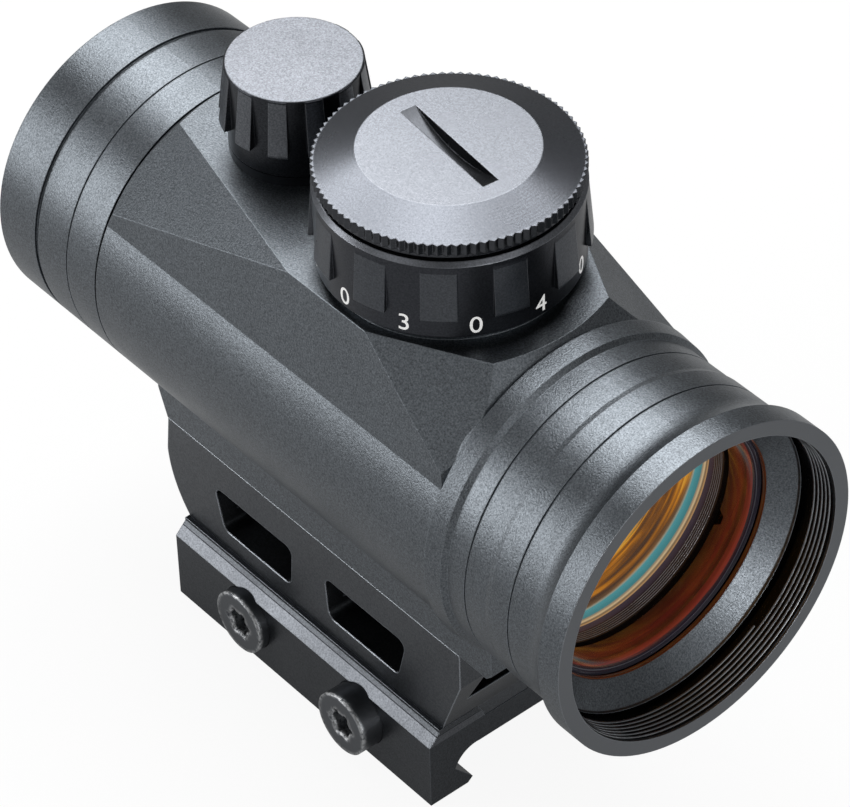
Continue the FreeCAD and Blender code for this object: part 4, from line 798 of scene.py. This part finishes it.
# %% Lens ring and lip
piece("funnel_lip", swept([
    (7.22, 15.195), (7.24, 15.08), (7.45, 15.03), (7.68, 15.06), (7.69, 15.195)]),
    LIP, "sight")
RING_BORE = 14.4
lens_ring = piece("lens_ring", swept([
    (8.25, 15.28), (8.2, 15.2), (7.94, 15.16), (7.9, 15.06), (8.02, 15.0), (8.04, 14.88),
    (7.93, 14.84), (7.92, 14.74), (8.06, 14.68), (8.1, 14.58), (8.04, 14.53), (8.3, 14.46),
    (12.06, RING_BORE), (12.12, 14.45), (12.12, 15.28)],
    notch=((117.0, 297.0), 2.9, (12, 13, 14), 0.75)),
    RED_REFLECTION, "inner_optics")
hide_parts("objective_retaining_ring")
print("lens ring: %d faces, bore %.1f mm" % (len(lens_ring.data.polygons), 2 * RING_BORE))

# %% [markdown]
# ### The lens
# The objective is a thin curved glass whose inner face carries a coating that mirrors the dot's
# red light and lets the rest through. Seen from the front it works as a pale amber mirror that one
# can look through, so it is a metal-like mirror at a low alpha, which also lets the lamps reach
# the wall behind it. A curved disc is a profile of the same sweep that starts and ends on the
# axis.


# %% Coated lens
def coated(name, colour, alpha):
    """Glass with a thin mirror coating; slow clouds vary its tint as real coatings do."""
    material, tree, shader = new_material(name, colour, 0.9, 0.03, Alpha=alpha)
    place = add(tree, "ShaderNodeTexCoord").outputs["Object"]
    cloud = add(tree, "ShaderNodeTexNoise", {"Vector": place, "Scale": noise_scale(14),
                                             "Detail": 2.0})
    uneven(tree, shader, colour, cloud.outputs["Fac"], 0.8, 1.2)
    return material


def lens_corners(front, edge, radius, curve, rings=10, pole=0.0002):
    """Both faces of a curved disc that bulges forwards, from the axis out and back."""
    rise = [curve - math.sqrt(curve ** 2 - (radius * k / rings) ** 2) for k in range(rings + 1)]
    out = [(front - rise[-1] + rise[k], max(radius * k / rings, pole)) for k in range(rings + 1)]
    return out + [(setback + edge, r) for setback, r in reversed(out)]


LENS_EDGE = 12.2    # its edge's distance behind the bell's rim
# A pale amber veil at the front, and a faint violet sheen at the eye end.
AMBER = coated("amber_mirror_coated_glass", "c9b0a0", 0.06)
VIOLET = coated("violet_anti_reflection_glass", "8d93b8", 0.14)
lens = piece("coated_lens", swept(lens_corners(LENS_EDGE, 0.6, 15.2, 145.0), 96),
             AMBER, "inner_optics")
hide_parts("objective_lens")
dress(VIOLET, "ocular_window")
print("lens: %d faces, edge %.1f mm behind the rim" % (len(lens.data.polygons), LENS_EDGE))

# %% [markdown]
# ### The lit wall behind the lens
# Just behind the lens the inner tube's wall has fine ridges that kill stray light, and behind them
# the coatings of the two glasses throw their colours on it: slate, pale gold, teal and amber. They
# lie on the wall as bands round the axis, so one ramp along the axis colours them, and a noise
# that is stretched round the tube breaks them into streaks. A little emission stands for the light
# that the glasses throw there.

# %% Coloured wall
WALL_FRONT, WALL_LENGTH = 12.8, 18.0
# Each stop's distance behind the rim, and its colour.
WALL_STOPS = (
    (12.8, "08080a"), (14.25, "08080a"), (14.3, "2b2a3a"), (15.0, "3a3848"), (15.05, "c9a878"),
    (15.3, "6b5a48"), (15.5, "e0cfa8"), (15.75, "a5957c"), (15.9, "3f8f9c"), (16.7, "4fa8b4"),
    (16.85, "a9b4a6"), (17.05, "7d6a52"), (22.0, "a8742c"), (26.0, "8a6a44"), (30.8, "4a3a2a"))
AMBER_STOPS = ((0.34, "4a3a34"), (0.44, "8a5a2a"), (0.52, "d0892a"), (0.58, "f4bc48"),
               (0.68, "7a5a44"))


def lit_wall():
    """Satin metal under painted bands of the light that the coatings throw, in streaks further in.
    """
    material, tree, shader = new_material("satin_wall_with_painted_coating_light", "2c2a33", 0.15, 0.3,
                                          Coat_Weight=0.25, Emission_Strength=0.55)
    place = add(tree, "ShaderNodeTexCoord").outputs["Object"]
    along = add(tree, "ShaderNodeSeparateXYZ", {0: place}).outputs["X"]
    depth = add(tree, "ShaderNodeMapRange", {"Value": along, "From Min": (RIM - WALL_FRONT) * MM,
                "From Max": (RIM - WALL_FRONT - WALL_LENGTH) * MM}).outputs["Result"]
    bands = add(tree, "ShaderNodeValToRGB", {"Fac": depth})
    fill_ramp(bands, [((setback - WALL_FRONT) / WALL_LENGTH, code)
                      for setback, code in WALL_STOPS])
    streak = streaks(tree, place, 1.1, 16, Detail=3.0, Distortion=0.4)
    amber = add(tree, "ShaderNodeValToRGB", {"Fac": streak})
    fill_ramp(amber, AMBER_STOPS)
    deep = add(tree, "ShaderNodeMapRange", {"Value": depth, "From Min": 0.22, "From Max": 0.26,
                                            "To Max": 0.9})
    mix = add(tree, "ShaderNodeMixRGB", {"Fac": deep.outputs["Result"],
              "Color1": bands.outputs["Color"], "Color2": amber.outputs["Color"]})
    tree.links.new(mix.outputs["Color"], shader.inputs["Base Color"])
    tree.links.new(mix.outputs["Color"], shader.inputs["Emission Color"])
    fine = add(tree, "ShaderNodeTexWave", {"Vector": place, "Scale": wave_scale(0.55)},
               wave_type="BANDS", bands_direction="X")
    bump = add(tree, "ShaderNodeBump", {"Height": fine.outputs["Fac"], "Strength": 0.4,
                                        "Distance": 0.02 * MM})
    tree.links.new(bump.outputs["Normal"], shader.inputs["Normal"])
    return material


sleeve = piece("lit_wall", swept([
    (12.85, 14.49), (12.85, 14.42), (13.0, 14.4), (31.0, 14.4), (31.0, 14.49)]),
    lit_wall(), "inner_optics")
print("wall:", len(sleeve.data.polygons), "faces")

# %% Light-trap ridges
# Black grooves between thin pale crests; a little emission stands for the light off the lens.
TRAP = turned("pale_light_trap_crest", "8e8e94", 0.3, TUBE_LATHE, "X", 0.2, 0.004,
              Emission_Color=linear("b4b4b8"), Emission_Strength=0.07)
ridges = wind(12.93, 14.4, 0.26, 5.0, 0.06, TRAP)
ridges = piece("light_trap_ridges", ridges, None, "inner_optics")
print("ridges:", len(ridges.data.polygons), "faces")

# %% [markdown]
# ## Numbers on the brightness dial
# The dial carries its settings as engraved and white-filled digits, 2.1 mm tall, with an off mark
# between each two. A digit is text turned into a filled outline with a little thickness. One tree
# makes a digit and lays it against the dial at its own angle, and the loop only changes its
# inputs.


# %% The tree for one digit
def digit_tree():
    """A digit stood up against a round dial, from its size, place and turn."""
    tree, sizes, out = new_tree("dial_digit", [
        ("Digit", "String"), ("Tall", "Float"), ("Thick", "Float"), ("Out", "Float"),
        ("Up", "Float"), ("Turn", "Float"), ("Centre", "Vector")])
    letters = add(tree, "GeometryNodeStringToCurves", {"String": sizes["Digit"],
                  "Size": sizes["Tall"]}, align_x="CENTER", align_y="MIDDLE")
    flat = add(tree, "GeometryNodeFillCurve", {0: letters.outputs[0]})
    real = add(tree, "GeometryNodeRealizeInstances", {0: flat.outputs[0]})
    raised = add(tree, "GeometryNodeExtrudeMesh", {"Mesh": real.outputs[0],
                 "Offset Scale": sizes["Thick"], "Individual": False})
    back = add(tree, "GeometryNodeFlipFaces", {0: real.outputs[0]})
    both = add(tree, "GeometryNodeJoinGeometry")
    for side in (raised, back):
        tree.links.new(side.outputs[0], both.inputs[0])
    whole = add(tree, "GeometryNodeMergeByDistance", {0: both.outputs[0], "Distance": 0.001 * MM})
    reach = add(tree, "ShaderNodeCombineXYZ", {"Y": sizes["Up"], "Z": sizes["Out"]})
    stand = add(tree, "GeometryNodeTransform", {"Geometry": whole.outputs[0],
                "Translation": reach.outputs[0]})
    upright = add(tree, "GeometryNodeTransform", {"Geometry": stand.outputs[0],
                  "Rotation": (math.pi / 2, 0, math.pi / 2)})
    spin = add(tree, "ShaderNodeCombineXYZ", {"Z": sizes["Turn"]})
    placed = add(tree, "GeometryNodeTransform", {"Geometry": upright.outputs[0],
                 "Rotation": spin.outputs[0], "Translation": sizes["Centre"]})
    end_tree(tree, placed.outputs[0], sizes["Finish"], out)
    return tree


DIGIT = digit_tree()
print("digit tree:", len(DIGIT.nodes), "nodes")

# %% Twelve marks
MARKS = 12    # a digit from 1 to 6 on every second mark, and a 0 for off between each two
FONT_SIZE, PAINT_DEPTH = 3.0, 0.07    # a digit is about 0.7 of its font size tall
DIGIT_OUT, DIGIT_UP = 14.11, 22.05    # from the dial's axis, and above the optical axis
# Crisp white paint that glows a little, a painted light, to read where the dial turns from the
# lamps.
GLOWING_WHITE_PAINT = speckled("white_engraving_paint_with_painted_glow", "f2f2f0", "fcfcfa", 0.45, 0.4,
                 Emission_Strength=0.3)[0]
joined = bmesh.new()
for k in range(MARKS):
    text = "0" if k % 2 else str((k // 2 + 3) % 6 + 1)
    digit = grow(DIGIT, {
        "Digit": text, "Tall": FONT_SIZE * MM, "Thick": PAINT_DEPTH * MM, "Out": DIGIT_OUT * MM,
        "Up": (AXIS.z + DIGIT_UP) * MM, "Turn": math.radians(360 / MARKS * k),
        "Centre": tuple(DIAL_LATHE * MM), "Finish": GLOWING_WHITE_PAINT})
    joined.from_mesh(digit)
numbers = bpy.data.meshes.new("dial_numbers")
joined.to_mesh(numbers)
joined.free()
numbers = piece("dial_numbers", numbers, GLOWING_WHITE_PAINT, "brightness_knob")
tall = [v.co.z / MM for v in numbers.data.vertices]
print("numbers: %d faces, %.2f mm tall" % (len(numbers.data.polygons), max(tall) - min(tall)))

# %% [markdown]
# ## Studio
# A wide pale floor that the camera sees as white, and that still takes the sight's soft shadow. A
# brighter lamp could whiten it too, but it would bleach the metal. So the floor glows for the
# camera and, much less, for mirror-like surfaces, which keeps the metal's undersides dark.

# %% Floor
FLOOR_REACH, FLOOR_SIDES = 420, 96
FLOOR_GREY, FLOOR_PALE = "9a9a9a", "f6f6f6"
CAMERA_SHARE, MIRROR_SHARE = 0.92, 0.2    # how much of what they see is glow


def make_floor():
    """A round floor at the clamp's foot."""
    mesh = bpy.data.meshes.new("floor")
    turns = [2 * math.pi * k / FLOOR_SIDES for k in range(FLOOR_SIDES)]
    mesh.from_pydata([(FLOOR_REACH * math.cos(a) * MM, FLOOR_REACH * math.sin(a) * MM, FLOOR * MM)
                      for a in turns], [], [list(range(FLOOR_SIDES))])
    floor = bpy.data.objects.new("floor", mesh)
    bpy.context.scene.collection.objects.link(floor)
    material, tree, shader = new_material("studio_floor", FLOOR_GREY, 0.0, 0.9)
    path = add(tree, "ShaderNodeLightPath").outputs
    pale = add(tree, "ShaderNodeMixRGB", {"Fac": path["Is Camera Ray"],
               "Color1": linear(FLOOR_GREY), "Color2": linear(FLOOR_PALE)})
    tree.links.new(pale.outputs["Color"], shader.inputs["Base Color"])
    mirror = add(tree, "ShaderNodeMath", {0: path["Is Glossy Ray"], 1: path["Is Transmission Ray"]},
                 operation="MAXIMUM")
    mirror = add(tree, "ShaderNodeMath", {0: mirror.outputs[0], 1: MIRROR_SHARE},
                 operation="MULTIPLY")
    seen = add(tree, "ShaderNodeMath", {0: path["Is Camera Ray"], 1: CAMERA_SHARE,
               2: mirror.outputs[0]}, operation="MULTIPLY_ADD")
    glow = add(tree, "ShaderNodeEmission", {"Color": (1, 1, 1, 1), "Strength": 1.0})
    mix = add(tree, "ShaderNodeMixShader", {0: seen.outputs[0], 1: shader.outputs[0],
                                            2: glow.outputs[0]})
    tree.links.new(mix.outputs[0], tree.nodes["Material Output"].inputs["Surface"])
    mesh.materials.append(material)
    return floor


print("floor at z", round(make_floor().data.vertices[0].co.z / MM, 2), "mm")

# %% [markdown]
# ## Light
# Metal shows what it mirrors, so each soft box is placed for the face that should shine. The large
# one overhead, a little behind, is what the knobs' crowns and the tube's top mirror. The one at
# the left draws the second bright band along the tube. Four weak ones pick out single places: the
# funnel in the mouth (front), the rim and bolts (fill), the near side (near) and the far ends
# (rear). A dim white world fills the rest.


# %% Lights
def soft_box(name, place, width, height, power, facing=None):
    """A rectangular lamp at a place seen from the aim; it looks back, or along facing."""
    lamp = bpy.data.lights.new(name, "AREA")
    lamp.shape = "RECTANGLE"
    lamp.size, lamp.size_y = width * MM, height * MM
    lamp.energy = power
    obj = bpy.data.objects.new(name, lamp)
    obj.location = (AIM + Vector(place)) * MM
    obj.rotation_mode = "QUATERNION"
    back = -Vector(facing) if facing else Vector(place)
    obj.rotation_quaternion = back.to_track_quat("Z", "Y")
    bpy.context.scene.collection.objects.link(obj)
    return obj


boxes = [soft_box("box_overhead", (-390, 190, 600), 780, 550, 6.1, facing=(0, 0, -1)),
         soft_box("box_left", (-347, -460, 150), 300, 360, 1.1),
         soft_box("box_front", (332, -66, 4), 100, 70, 0.16),
         soft_box("box_fill", (430, -20, 245), 320, 320, 0.24),
         soft_box("box_near", (38, -430, 350), 240, 240, 0.1),
         soft_box("box_rear", (-490, -287, 194), 220, 220, 0.055)]
print(len(boxes), "soft boxes, %.2f W in all" % sum(box.data.energy for box in boxes))

# %% World and view
WORLD_LIGHT, WORLD_SEEN = 0.19, 1.0    # what lights the sight, and the white that the camera sees
world = bpy.data.worlds.new("studio")
world.use_nodes = True
sky = world.node_tree.nodes["Background"]
direct = add(world.node_tree, "ShaderNodeLightPath").outputs["Is Camera Ray"]
level = add(world.node_tree, "ShaderNodeMapRange", {"Value": direct, "To Min": WORLD_LIGHT,
                                                    "To Max": WORLD_SEEN})
world.node_tree.links.new(level.outputs["Result"], sky.inputs["Strength"])
sky.inputs["Color"].default_value = (1, 1, 1, 1)
bpy.context.scene.world = world
bpy.context.scene.view_settings.view_transform = "Standard"
print("world light", WORLD_LIGHT)
